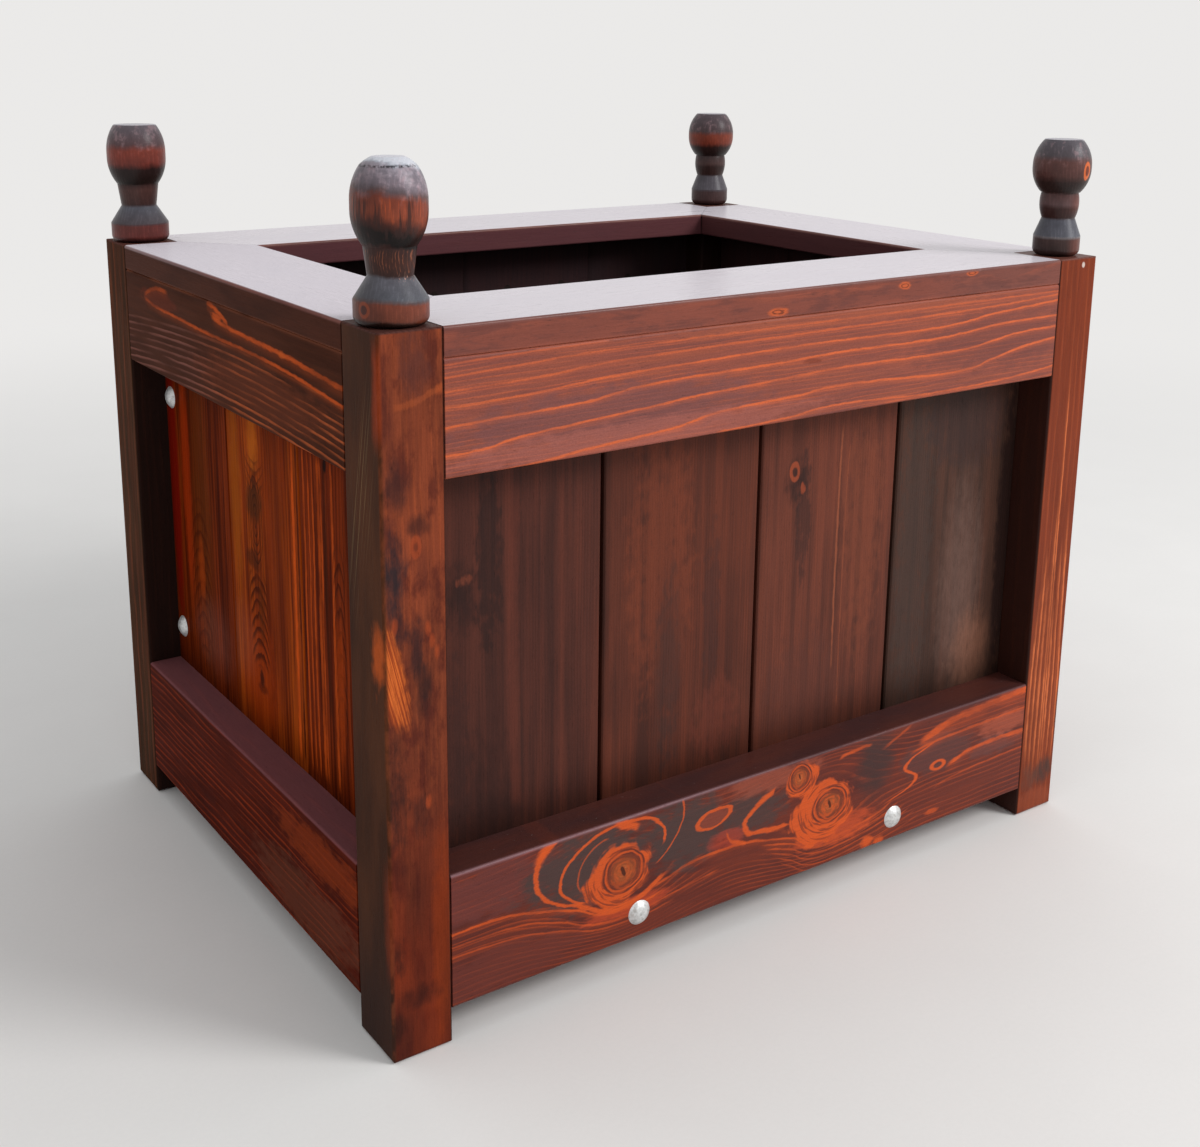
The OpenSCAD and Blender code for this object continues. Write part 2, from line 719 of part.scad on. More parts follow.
long_board(0, 3);  // front_board_4
long_board(1, 0);  // back_board_1
long_board(1, 1);  // back_board_2
long_board(1, 2);  // back_board_3
long_board(1, 3);  // back_board_4
side_board(0, 0);  // left_board_1
side_board(0, 1);  // left_board_2
side_board(0, 2);  // left_board_3
side_board(1, 0);  // right_board_1
side_board(1, 1);  // right_board_2
side_board(1, 2);  // right_board_3
batten(0, 0);  // batten_front_left
batten(1, 0);  // batten_front_right
batten(0, 1);  // batten_back_left
batten(1, 1);  // batten_back_right
ledger(0);  // ledger_front
ledger(1);  // ledger_back
floor_slat(0);  // floor_slat_1
floor_slat(1);  // floor_slat_2
floor_slat(2);  // floor_slat_3
floor_slat(3);  // floor_slat_4
floor_slat(4);  // floor_slat_5
floor_slat(5);  // floor_slat_6
floor_slat(6);  // floor_slat_7
rail_dowels();
cap_dowels();
finial_dowels();
mitre_splines();
rail_bolts();
panel_bolts();
bolt_washers();
bolt_nuts();
board_screws();
batten_screws();
slat_screws();
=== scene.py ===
import math
from collections import namedtuple

import bpy
from mathutils import Matrix, Vector


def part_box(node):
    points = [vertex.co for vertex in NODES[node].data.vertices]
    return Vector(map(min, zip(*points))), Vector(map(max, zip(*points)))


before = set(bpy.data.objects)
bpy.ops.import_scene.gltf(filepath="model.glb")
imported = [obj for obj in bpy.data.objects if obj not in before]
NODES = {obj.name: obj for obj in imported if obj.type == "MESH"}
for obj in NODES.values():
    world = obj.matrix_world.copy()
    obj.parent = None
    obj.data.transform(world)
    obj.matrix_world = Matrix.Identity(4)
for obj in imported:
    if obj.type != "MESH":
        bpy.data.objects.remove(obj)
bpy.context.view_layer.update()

# Sizes from the frame, in mm
MM = 1000.0


def span(node):
    """Lowest and highest corner of a node, in mm."""
    low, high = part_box(node)
    return low * MM, high * MM


def centre(node):
    low, high = span(node)
    return (low + high) / 2


post_low, post_high = span("post_front_left")
cap_low, cap_high = span("cap_front")
TOP_RAIL_LOW = span("top_rail_front")[0].z
LEDGE_Z = span("bottom_rail_front")[1].z
POST_H = post_high.z
CAP_LOW = cap_low.z
HALF_L = -post_low.x
HALF_W = -post_low.y
OPEN_X = -span("cap_left")[1].x
OPEN_Y = -cap_high.y


# Camera, floor and light


def make_camera():
    """Camera at the photograph's place, turned and shifted as the photograph was."""
    focal_px, cx, cy = 1544.93, 598.57, 413.5
    turn, pitch, roll = 0.60726, 0.23836, 0.01096
    place = Vector((-0.84676, -1.23022, 0.76901))
    wide, high = 1200, 1147
    sensor_mm = 36
    ahead = Vector((
        math.sin(turn) * math.cos(pitch),
        math.cos(turn) * math.cos(pitch),
        -math.sin(pitch),
    ))
    right = Vector((math.cos(turn), -math.sin(turn), 0))
    up = right.cross(ahead)
    tilted_right = math.cos(roll) * right + math.sin(roll) * up
    tilted_up = math.cos(roll) * up - math.sin(roll) * right
    data = bpy.data.cameras.new("camera")
    data.sensor_width = sensor_mm
    data.lens = focal_px / wide * sensor_mm
    data.shift_x = (wide / 2 - cx) / wide
    data.shift_y = (cy - high / 2) / wide
    data.clip_start = 0.01
    cam = bpy.data.objects.new("camera", data)
    bpy.context.scene.collection.objects.link(cam)
    turned = Matrix((tilted_right, tilted_up, -ahead)).transposed().to_4x4()
    cam.matrix_world = Matrix.Translation(place) @ turned
    bpy.context.scene.camera = cam


BACKGROUND = (0.83, 0.82, 0.81, 1)


def background_rays(tree):
    """1 on rays that should meet the plain background: camera, glossy and transmission rays."""
    rays = tree.nodes.new("ShaderNodeLightPath")
    seen = rays.outputs["Is Camera Ray"]
    for kind in ("Is Glossy Ray", "Is Transmission Ray"):
        either = tree.nodes.new("ShaderNodeMath")
        either.operation = "MAXIMUM"
        tree.links.new(seen, either.inputs[0])
        tree.links.new(rays.outputs[kind], either.inputs[1])
        seen = either.outputs[0]
    return seen


def make_floor():
    """Wide pale floor that fades into the background away from the object."""
    half = 40.0
    fade_from, fade_to = 900, 3000
    mesh = bpy.data.meshes.new("floor")
    mesh.from_pydata(
        [(-half, -half, 0), (half, -half, 0), (half, half, 0), (-half, half, 0)],
        [],
        [(0, 1, 2, 3)],
    )
    floor = bpy.data.objects.new("floor", mesh)
    bpy.context.scene.collection.objects.link(floor)
    g = Graph("floor_pale")
    mesh.materials.append(g.mat)
    cloud = g.noise(g.x / 260, g.y / 260, 3.0, 4, 0.6)
    grit = g.noise(g.x / 4, g.y / 4, 1.0, 3, 0.7)
    shade = 1 + (cloud - 0.5) * 0.08 + (grit - 0.5) * 0.05
    g.set(Base_Color=g.scale_colour((0.84, 0.825, 0.805, 1), shade), Roughness=0.9,
          Specular_IOR_Level=0.1)
    far = (square(g.x) + square(g.y)).sqrt()
    fade = g.smooth(far, fade_from, fade_to)
    seen = Value(g, background_rays(g.tree))
    glow = g.add("Emission", BACKGROUND)
    mix = g.add("MixShader")
    g.plug(mix.inputs[0], fade * seen)
    g.tree.links.new(g.shader.outputs[0], mix.inputs[1])
    g.tree.links.new(glow.outputs[0], mix.inputs[2])
    g.tree.links.new(mix.outputs[0], g.tree.nodes["Material Output"].inputs[0])


def soft_lamp(name, place, aim, size, watts):
    """Round lamp at place, pointed at aim."""
    data = bpy.data.lights.new(name, "AREA")
    data.shape = "DISK"
    data.size = size
    data.energy = watts
    lamp = bpy.data.objects.new(name, data)
    bpy.context.scene.collection.objects.link(lamp)
    lamp.location = place
    lamp.rotation_mode = "QUATERNION"
    lamp.rotation_quaternion = (Vector(aim) - Vector(place)).to_track_quat("-Z", "Y")


def make_light():
    """Even pale surroundings and one large soft lamp in front, to the right."""
    sky_colour, sky_strength = (0.97, 0.985, 1.0, 1), 0.7
    lamp_place, lamp_aim, lamp_size, lamp_watts = (2.0, -2.7, 2.5), (0, 0, 0.3), 1.6, 82
    world = bpy.data.worlds.new("studio")
    bpy.context.scene.world = world
    world.use_nodes = True
    tree = world.node_tree
    even = tree.nodes["Background"]
    even.inputs["Color"].default_value = sky_colour
    even.inputs["Strength"].default_value = sky_strength
    shown = tree.nodes.new("ShaderNodeBackground")
    shown.inputs["Color"].default_value = BACKGROUND
    mix = tree.nodes.new("ShaderNodeMixShader")
    tree.links.new(background_rays(tree), mix.inputs[0])
    tree.links.new(even.outputs[0], mix.inputs[1])
    tree.links.new(shown.outputs[0], mix.inputs[2])
    tree.links.new(mix.outputs[0], tree.nodes["World Output"].inputs[0])
    soft_lamp("key", lamp_place, lamp_aim, lamp_size, lamp_watts)
    bpy.context.scene.view_settings.view_transform = "Standard"


# Node expressions


def linear(colour):
    """Linear colour of an sRGB triple in 0 to 255; anything else stays as it is."""
    if isinstance(colour, Value) or len(colour) == 4:
        return colour
    parts = [c / 255 for c in colour]
    return (*(p / 12.92 if p <= 0.04045 else ((p + 0.055) / 1.055) ** 2.4 for p in parts), 1.0)


def square(value):
    return value * value


def operator(kind):
    """Method of Value that adds a math node of that kind."""
    def apply(self, *others):
        return self.graph.math(kind, self, *others)
    return apply


class Value:
    """A socket that can be written in sums and products."""

    def __init__(self, graph, socket):
        self.graph = graph
        self.socket = socket

    __add__ = __radd__ = operator("ADD")
    __sub__ = operator("SUBTRACT")
    __mul__ = __rmul__ = operator("MULTIPLY")
    __truediv__ = operator("DIVIDE")
    abs = operator("ABSOLUTE")
    sqrt = operator("SQRT")
    frac = operator("FRACT")
    exp = operator("EXPONENT")
    max = operator("MAXIMUM")

    def __rsub__(self, other):
        return self.graph.math("SUBTRACT", other, self)

    def __neg__(self):
        return self * -1

    def clamp(self):
        total = self + 0
        total.socket.node.use_clamp = True
        return total


class Graph:
    """One material, with helpers that add its nodes. x, y and z are in mm, and a colour is
    an sRGB triple, a linear colour with four parts or a Value. tint() builds up its colour."""

    def __init__(self, name):
        self.mat = bpy.data.materials.new(name)
        self.mat.use_nodes = True
        self.tree = self.mat.node_tree
        self.shader = self.tree.nodes["Principled BSDF"]
        coords = self.add("TexCoord")
        split = self.add("SeparateXYZ")
        self.tree.links.new(coords.outputs["Object"], split.inputs[0])
        self.x, self.y, self.z = [Value(self, split.outputs[i]) * MM for i in range(3)]

    def plug(self, socket, what):
        if isinstance(what, Value):
            self.tree.links.new(what.socket, socket)
        else:
            socket.default_value = what

    def add(self, kind, *plugs, **settings):
        """New node with its properties set and its first inputs plugged."""
        node = self.tree.nodes.new("ShaderNode" + kind)
        for key, what in settings.items():
            setattr(node, key, what)
        for socket, what in zip(node.inputs, plugs):
            self.plug(socket, what)
        return node

    def set(self, **inputs):
        """Plugs the shader's inputs; an underscore stands for the space in a name."""
        for name, what in inputs.items():
            self.plug(self.shader.inputs[name.replace("_", " ")], what)

    def math(self, kind, *args):
        return Value(self, self.add("Math", *args, operation=kind).outputs[0])

    def noise(self, x, y, z, detail=2.0, rough=0.5):
        """Noise from 0 to 1 at a place counted in noise cells."""
        node = self.add("TexNoise")
        place = self.add("CombineXYZ", x, y, z)
        self.tree.links.new(place.outputs[0], node.inputs["Vector"])
        node.inputs["Scale"].default_value = 1.0
        node.inputs["Detail"].default_value = detail
        node.inputs["Roughness"].default_value = rough
        return Value(self, node.outputs[0])

    def smooth(self, what, low, high):
        """0 below low, 1 above high, smooth between."""
        node = self.add("MapRange", what, low, high, interpolation_type="SMOOTHSTEP")
        return Value(self, node.outputs[0])

    def below(self, what, low, high):
        """1 below low, 0 above high, smooth between."""
        return 1 - self.smooth(what, low, high)

    def between(self, what, low0, low1, high0, high1):
        """Rises to 1 from low0 to low1 and falls back to 0 from high0 to high1."""
        return self.smooth(what, low0, low1) * self.below(what, high0, high1)

    def curve(self, what, points):
        """Smooth curve through (x, y) points, level beyond its ends."""
        x0, x1 = points[0][0], points[-1][0]
        low = min(p[1] for p in points)
        high = max(p[1] for p in points)
        if high - low < 1e-6:
            return low
        node = self.add("FloatCurve")
        line = node.mapping.curves[0]
        scaled = [((x - x0) / (x1 - x0), (y - low) / (high - low)) for x, y in points]
        line.points[0].location = scaled[0]
        line.points[1].location = scaled[-1]
        for p in scaled[1:-1]:
            line.points.new(*p)
        node.mapping.update()
        self.plug(node.inputs["Value"], ((what - x0) / (x1 - x0)).clamp())
        return Value(self, node.outputs[0]) * (high - low) + low

    def ramp(self, what, stops):
        """Colour that goes from stop to stop; a stop is (place, colour)."""
        x0, x1 = stops[0][0], stops[-1][0]
        node = self.add("ValToRGB")
        band = node.color_ramp
        for element, (place, colour) in zip(band.elements, (stops[0], stops[-1])):
            element.position = (place - x0) / (x1 - x0)
            element.color = linear(colour)
        for place, colour in stops[1:-1]:
            band.elements.new((place - x0) / (x1 - x0)).color = linear(colour)
        self.plug(node.inputs[0], (what - x0) / (x1 - x0))
        return Value(self, node.outputs[0])

    def blend(self, amount, first, second):
        """Colour from first at 0 to second at 1."""
        node = self.add("Mix", amount, data_type="RGBA", clamp_factor=True)
        self.plug(node.inputs[6], linear(first))
        self.plug(node.inputs[7], linear(second))
        return Value(self, node.outputs[2])

    def tint(self, mask, colour):
        self.colour = self.blend(mask, self.colour, colour)

    def scale_colour(self, colour, factor):
        """Colour times a grey factor."""
        node = self.add("VectorMath", operation="SCALE")
        self.plug(node.inputs[0], colour if isinstance(colour, Value) else colour[:3])
        self.plug(node.inputs[3], factor)
        return Value(self, node.outputs[0])

    def bump(self, height, distance_mm, strength):
        node = self.add("Bump")
        node.inputs["Strength"].default_value = strength
        node.inputs["Distance"].default_value = distance_mm / MM
        self.plug(node.inputs["Height"], height)
        self.tree.links.new(node.outputs[0], self.shader.inputs["Normal"])

    def bell(self, a, ra):
        """1 where a is 0, falling over ra."""
        return (-square(a / ra)).exp()

    def spot(self, a, b, ra, rb):
        """1 where a and b are 0, falling over ra and rb."""
        return (-square(a / ra) - square(b / rb)).exp()

    def grazing(self):
        """0 on a surface seen from above, 1 on one seen at a low angle."""
        node = self.add("LayerWeight")
        node.inputs["Blend"].default_value = 0.5
        return self.smooth(Value(self, node.outputs["Facing"]), 0.6, 0.84)


# Stained wood


# sRGB colours of one stained board: its dark, middle and light parts and its grain lines
Tone = namedtuple("Tone", "dark mid light line")
BLACK = (24, 15, 14)
# painted light: a lighter colour laid in the joint under the cap, so its groove's shade hardly shows
SEAM_LIGHT_FRONT = (158, 88, 70)
SEAM_LIGHT_LEFT = (124, 72, 52)
# specular level of the pieces on the left side, which look away from the lamp
DULL = 0.004
# where a growth ring ends, as a share of the way to the next
RING_END = (0.93, 1.0)
# soft edges of blotches: crisp, soft and hazy
CRISP = (0.0, 1.5)
SOFT = (-0.2, 1.5)
HAZY = (-0.4, 2.0)


class Board(Graph):
    """Stained board, named after its node. u runs along the grain, v across it and w into the
    board, in mm; axes names the axis of each. The colour builds up mark by mark.

    gap is the space between growth rings, lean their slope, wave their wander and bow their
    bend. pushes spread them about a knot, line_at says where in a ring its dark line rises,
    and run is the length of a streak. The others are strengths."""

    def __init__(self, name, axes, seed, tone, gap=6.0, lean=0.0, wave=9.0, lines=0.35,
                 line_at=(0.55, 0.92), mottle=0.6, streaks=0.45, fibre=0.2, run=90.0, bands=0.0,
                 pushes=(), bow=None):
        super().__init__(name)
        self.name = name
        self.seed = seed
        self.tone = tone
        u, v, w = [getattr(self, axis) for axis in axes]
        self.u, self.v, self.w = u, v, w
        wander = self.noise(u / 170 + seed, v / 50, w / 50 + seed, 2) - 0.5
        pushed = v + wander * wave
        for ku, kv, ru, rv, push in pushes:
            pushed = pushed - (v - kv) * self.spot(u - ku, v - kv, ru, rv) * push
        if bow:
            pushed = pushed + bow(u)
        count = pushed / gap + w * 0.06 + u * lean / gap
        count = count + (self.noise(u / 26 + seed, v / 3, w / 3, 2) - 0.5) * 0.3
        part = count.frac()
        rise = self.between(part, *line_at, *RING_END)
        fade = self.smooth(self.noise(u / 95, v / 12 + seed, w / 12, 2), 0.3, 0.66)
        self.rings = rise * fade

        broad = self.smooth(self.noise(u / 120 + seed, v / 30, w / 30, 3), 0.32, 0.7)
        streak = self.smooth(self.noise(u / run, v / 4.5 + seed, w / 4.5, 3), 0.34, 0.74)
        self.fine = self.noise(u / 26, v / 0.8 + seed, w / 0.8, 3, 0.6)
        self.pores = self.smooth(self.noise(u / 7, v / 0.9, w / 0.9 + seed, 1), 0.64, 0.78)
        self.colour = tone.mid
        self.tint(broad * mottle, tone.dark)
        self.tint(streak * streaks, tone.light)
        if bands:
            band = self.noise(u / 420 + seed, v / 13, w / 13, 2, 0.6)
            self.tint(self.smooth(band, 0.5, 0.66) * bands, tone.dark)
            self.tint(self.smooth(0.5 - band, 0.02, 0.16) * bands * 0.7, tone.light)
        self.tint(self.rings * lines, tone.line)
        self.broad = broad
        self.fibre = fibre
        self.wobble = self.noise(u / 15 + seed, v / 8, w / 8, 3) - 0.5
        self.vary = self.smooth(self.noise(u / 42, v / 15 + seed, w / 15, 2), 0.3, 0.6) * 0.5 + 0.5
        self.fray = self.noise(u / 9 + seed, v / 2.2, w / 2.2, 2) - 0.5

    def window(self, where, low, high, soft):
        """1 from low to high, with soft ends inside them."""
        return self.between(where, low, low + soft, high - soft, high)

    def flow(self, points, width, amount=0.9, colour=None, soft=14.0, glow=0.25):
        """Grain line that follows (u, v) points; a weak glow lies below it."""
        away = self.v - self.curve(self.u, points) + self.wobble * 1.6
        line = self.below(away.abs() + self.fray * width * 0.7, width * 0.2, width * 0.75)
        if glow:
            line = line.max(self.between(away, -width * 2.6, 0, 0, width * 0.6) * glow)
        mask = line * self.vary * self.window(self.u, points[0][0], points[-1][0], soft)
        self.tint(mask * amount, colour or self.tone.line)

    def cross(self, points, width, amount=0.9):
        """Line that runs across the grain, through (v, u) points in rising v."""
        away = self.u - self.curve(self.v, points) + self.wobble * 2
        line = self.below(away.abs() + self.fray * width * 0.7, width * 0.25, width * 0.75)
        mask = line * self.window(self.v, points[0][0], points[-1][0], 6)
        self.tint(mask * amount, self.tone.line)

    def polar(self, ku, kv):
        """Angle in degrees and distance about a place on the face."""
        a = self.u - ku + self.wobble * 4
        b = self.v - kv + self.wobble * 3
        turn = self.math("ARCTAN2", b, a) * (180 / math.pi)
        return turn, (square(a) + square(b)).sqrt()

    def arc(self, about, points, width, amount=0.9):
        """Line about a knot, through (degrees, distance) points in rising angle."""
        turn, far = about
        start = points[0][0]
        angle = self.math("WRAP", turn - start, 360.0, 0.0)
        shape = [(p[0] - start, p[1]) for p in points]
        away = (far - self.curve(angle, shape)).abs()
        line = self.below(away + self.fray * width * 0.6, width * 0.25, width * 0.72)
        mask = line * self.window(angle, 0, shape[-1][0], 8)
        self.tint(mask * amount, self.tone.line)

    def oval(self, ku, kv, ru, rv, width, tilt=0.0, colour=None, amount=0.9, fill=None):
        """Closed ring; width is a share of its radius."""
        a, b = self.u - ku, self.v - kv
        if tilt:
            c, s = math.cos(math.radians(tilt)), math.sin(math.radians(tilt))
            a, b = a * c + b * s, b * c - a * s
        far = (square(a / ru) + square(b / rv)).sqrt() + self.wobble * 0.5
        if fill:
            self.tint(self.below(far, 0.7, 1.0) * amount, fill)
        line = self.below((far - 1).abs() + self.fray * width * 0.5, width * 0.4, width)
        self.tint(line * amount, colour or self.tone.line)

    def nest(self, count, mask, colour, amount, line_at=(0.4, 0.9)):
        """Nested figure: one line wherever count passes a whole number, inside mask."""
        part = (count + self.wobble * 0.9).frac()
        self.tint(self.between(part, *line_at, *RING_END) * mask * amount, colour)

    def knot(self, ku, kv, ru, rv, lean=(0, 0), spread=1.6, bright=0.35):
        """Knot: split heart, ringed brown disc, and a bright frayed fringe that reaches
        further on the side that lean points to."""
        bark = (104, 46, 34)
        burst = self.tone.line
        warp = self.noise(self.u / 14 + self.seed, self.v / 14, self.w / 20, 2, 0.5) - 0.5
        a, b = self.u - ku, self.v - kv
        outer = square((a - lean[0]) / (ru * spread)) + square((b - lean[1]) / (rv * spread))
        far = (square(a / ru) + square(b / rv)).sqrt() + warp * 0.13
        crescent = self.noise(a / (far * ru) * 1.2, b / (far * rv) * 1.2, far * 8 + self.seed, 2) - 0.5
        frayed = outer.sqrt() + warp * 0.75 + crescent * 0.3
        fringe = self.below(frayed, 0.84, 1.02)
        self.tint(fringe * 0.92, burst)
        self.tint(fringe * self.smooth(crescent, 0.02, 0.12) * 0.7, bark)
        body = self.below(far, 0.96, 1.03)
        ring = self.smooth(((far * 6.5).frac() - 0.5).abs(), 0.1, 0.45)
        disc = self.blend(self.smooth(far, 0.25, 0.85), (158, 78, 40), bark)
        disc = self.blend(ring * 0.26, disc, (88, 40, 30))
        disc = self.blend(self.below(crescent, -0.12, 0.06) * bright, disc, burst)
        self.tint(body, disc)
        seam = self.below((far - 0.86 + warp * 0.1).abs(), 0.02, 0.07)
        self.tint(seam * body * 0.7, burst)
        flake = self.smooth(crescent + warp, 0.0, 0.15) * self.below(far, 0.1, 0.34)
        self.tint(flake * 0.6, (200, 112, 64))
        crack = (square((a + b * 0.3) / (ru * 0.1)) + square(b / (rv * 0.3))).sqrt()
        self.tint(self.below(crack + warp * 2.4, 0.5, 1.0) * 0.85, (48, 24, 20))

    def stain(self, ku, kv, ru, rv, colour, amount, rag=1.3, soft=(0.3, 1.25)):
        """Blotch with a ragged edge, ru and rv being half its length and width."""
        far = square((self.u - ku) / ru) + square((self.v - kv) / rv)
        patch = self.below(far + self.wobble * rag * 1.6 + self.fray * rag * 0.7, *soft)
        self.tint(patch * amount, colour)

    def stains(self, *rows):
        for row in rows:
            self.stain(*row)

    def done(self, rough=0.42, specular=0.1, coat=0.0, coat_rough=0.25, relief=0.35, shade=None,
             speckle=0.34, nodes=()):
        """Plugs the colour in and gives the material to the nodes, or else to the board's own."""
        speck = self.noise(self.u / 1.6, self.v / 1.1, self.w / 1.1 + self.seed, 2, 0.7)
        grain = 1 + (self.fine - 0.5) * (2 * self.fibre) + (speck - 0.5) * speckle - self.pores * 0.22
        if shade is not None:
            grain = grain * shade
        self.set(Base_Color=self.scale_colour(self.colour, grain))
        gloss = rough + (self.fine - 0.5) * 0.14 + (self.broad - 0.5) * 0.06
        self.set(Roughness=gloss + self.pores * 0.1, Specular_IOR_Level=specular, Coat_Weight=coat,
                 Coat_Roughness=coat_rough)
        self.bump(self.rings * 0.3 + self.fine * 0.55 - self.pores * 0.5, relief, 0.5)
        for node in nodes or (self.name,):
            give(node, self.mat)


def give(node, mat):
    """Makes mat the node's only material."""
    data = NODES[node].data
    data.materials.clear()
    data.materials.append(mat)


# Rails


TOP_LINES = (
    (((-345, 543), (-300, 545), (-180, 547.7)), 2.0, 0.55),
    (((-345, 534), (-258, 537.7), (-181, 540.4), (100, 541.5), (345, 543)), 2.2, 0.6),
    (((-345, 524), (-258, 526), (-181, 530.8), (-104, 532.3), (11, 533.5), (200, 535),
      (345, 541)), 2.4, 0.7),
    (((-345, 512), (-258, 514.6), (-181, 519.6), (-104, 521.5), (11, 523.5), (165, 523),
      (242, 529), (345, 535)), 2.4, 0.95),
    (((-345, 497.4), (-281, 500), (-208, 502.3), (-181, 505.8), (-131, 509.6), (0, 511.5),
      (50, 513.5), (165, 513), (203, 515), (261, 519), (345, 520)), 2.6, 0.95),
    (((-345, 477.7), (-300, 478), (-277, 482), (-200, 487.7), (-143, 491), (-104, 494),
      (-46, 496), (50, 499.6), (196, 499.6), (242, 503.8), (288, 508.5), (345, 509.6)), 2.6, 0.95),
    (((-285, 460), (-265, 460.6), (-200, 465.8), (-123, 471), (-85, 477), (-58, 479), (0, 480.8),
      (50, 484), (107, 483), (196, 480), (242, 486.5), (280, 493.5), (345, 500)), 2.8, 0.95),
    (((-85, 461), (-66, 461.5), (0, 464), (50, 467.7), (107, 466), (165, 464), (223, 464.6),
      (280, 467), (345, 475)), 2.4, 0.85),
    (((75, 461.5), (88, 462), (345, 462)), 1.4, 0.5),
)


def paint_light_in_seam(b, colour):
    """Painted light: lightens the joint under the cap, so its groove's shade hardly shows."""
    groove = b.bell(b.z - CAP_LOW, 1.3)
    shown = b.smooth(b.noise(b.u / 90 + 4.2, 0.0, 1.0, 1), 0.5, 0.62)
    b.tint(groove * (1 - shown * 0.7), colour)


def top_rail_front():
    tone = Tone((116, 66, 60), (137, 74, 61), (154, 82, 60), (206, 98, 56))
    b = Board("top_rail_front", "xzy", 3.1, tone, gap=3.7, wave=10, lines=0.38, mottle=0.75,
              streaks=0.5, fibre=0.22)
    b.stains(
        (-180, 490, 150, 26, (112, 72, 72), 0.6),
        (250, 505, 120, 30, (104, 62, 58), 0.5),
        (60, 545, 200, 9, (158, 84, 60), 0.5),
        (-150, 470, 190, 14, (160, 92, 80), 0.6),
    )
    for points, width, amount in TOP_LINES:
        b.flow(points, width * 0.8, amount, glow=0.35)
    b.stain(23, 509, 12, 3, (120, 56, 40), 0.7)
    paint_light_in_seam(b, SEAM_LIGHT_FRONT)
    b.done(0.4, 0.12, relief=0.4, speckle=0.6)


def low_front_lines(b):
    """Grain that bends round the knots, one line that crosses it and a small ring."""
    b.flow(((-345, 92), (-290, 94), (-250, 87), (-215, 77), (-165, 61), (-120, 68)), 2.4)
    b.flow(((-345, 82), (-280, 82), (-230, 71), (-165, 54), (-110, 60), (-60, 66)), 1.8, 0.6)
    b.flow(((-345, 74), (-280, 72), (-230, 63), (-165, 49), (-110, 54)), 1.6, 0.5)
    b.flow(((-140, 70), (-115, 77), (-85, 83), (-50, 83), (-10, 77)), 2.6, 0.8)
    for k in range(6):
        drop = 5.5 * k
        b.flow(((-25 + 6 * k, 80 - drop), (20, 70 - drop), (60, 56 - drop), (100, 58 - drop),
                (150 + 8 * k, 74 - drop)), 2.0 - 0.15 * k, 0.8 - 0.09 * k)
    b.flow(((216, 84), (235, 91), (255, 95), (290, 96.5), (345, 95)), 4.5)
    b.flow(((165, 111), (200, 117), (250, 119), (345, 121)), 2.6, 0.6)
    b.flow(((176, 120), (200, 127), (230, 134), (270, 137), (345, 141)), 8.0, glow=0.4)
    b.flow(((74, 131), (95, 136), (118, 136)), 3.0, 0.7, glow=0, soft=6)
    b.flow(((128, 127), (155, 137), (172, 145)), 3.0, 0.6, glow=0)
    b.flow(((200, 66), (240, 74), (345, 78)), 1.8, 0.5)
    b.cross(((68, 130), (73, 150), (80, 172), (87, 178), (93, 170), (99, 162), (106, 168),
             (112, 185), (119, 210)), 5.0)
    b.oval(207, 91, 8, 4, 0.5)


def low_front_arcs(b):
    """Lines about the left knot; degrees run from its right side upwards."""
    knot = b.polar(-168, 97)
    b.arc(knot, ((135, 75), (146, 82), (158, 88), (170, 85), (179, 77), (192, 58), (207, 43),
                 (238, 36), (275, 33), (313, 37), (343, 48)), 5.0)
    b.arc(knot, ((14, 39), (22, 48), (33, 51), (55, 49), (86, 44), (124, 48), (149, 55),
                 (173, 61), (188, 53), (208, 37)), 2.8)
    b.arc(knot, ((110, 36), (140, 42), (165, 44), (190, 40)), 1.6, 0.5)
    b.arc(knot, ((-8, 34), (9, 51), (19, 63), (30, 75), (42, 80)), 2.4, 0.7)
    b.arc(knot, ((140, 80), (150, 86), (162, 89)), 9.0)
    b.arc(knot, ((62, 39), (80, 41), (102, 46)), 7.0)


def low_front_knots(b):
    """Three knots, with an island and a hook of grain between them and small spots below."""
    b.knot(-166, 97, 22, 20, lean=(-5, -2), spread=1.5)
    b.oval(-70, 116.5, 18, 8, 0.22, tilt=9, amount=0.85, fill=(132, 62, 46))
    hook = b.polar(-5, 103)
    b.arc(hook, ((77, 23), (100, 18), (125, 18), (169, 25), (189, 31), (207, 28), (253, 17),
                 (311, 23), (323, 38)), 5.5)
    b.flow(((-57, 99), (-54, 94), (-50, 88), (-43, 85), (-32, 81.5)), 4.5, soft=3, glow=0)
    b.knot(66, 90, 22, 18, lean=(-9, -5), spread=1.85, bright=0.6)
    b.knot(28, 127, 14, 14, lean=(4, -3), spread=1.35)
    b.stains(
        (117, 37, 9, 6, b.tone.line, 0.9),
        (131, 34, 8, 5, b.tone.line, 0.8),
        (202, 43, 12, 3, b.tone.line, 0.6),
    )


def low_front_ledge(b):
    """The top edge, the ledge under the boards, is darker and dusty, with a painted highlight on its
    front corner.
    """
    rise = LEDGE_Z - b.z
    top = b.below(rise, 0.6, 2.4)
    b.tint(top * 0.95, b.blend(b.broad, (81, 44, 38), (67, 41, 40)))
    # painted highlight: the rounded front corner is tinted pale lilac, where it catches the sky
    corner = b.spot(rise - 1.2, b.y + HALF_W - 1.0, 1.2, 1.4)
    b.tint(corner * (0.5 - b.smooth(b.u, -150, 60) * 0.38), (168, 128, 136))
    dust = b.smooth(b.noise(b.x / 3, b.y / 3, 0.0, 3, 0.7), 0.68, 0.76)
    b.tint(top * dust * 0.6, (186, 172, 168))


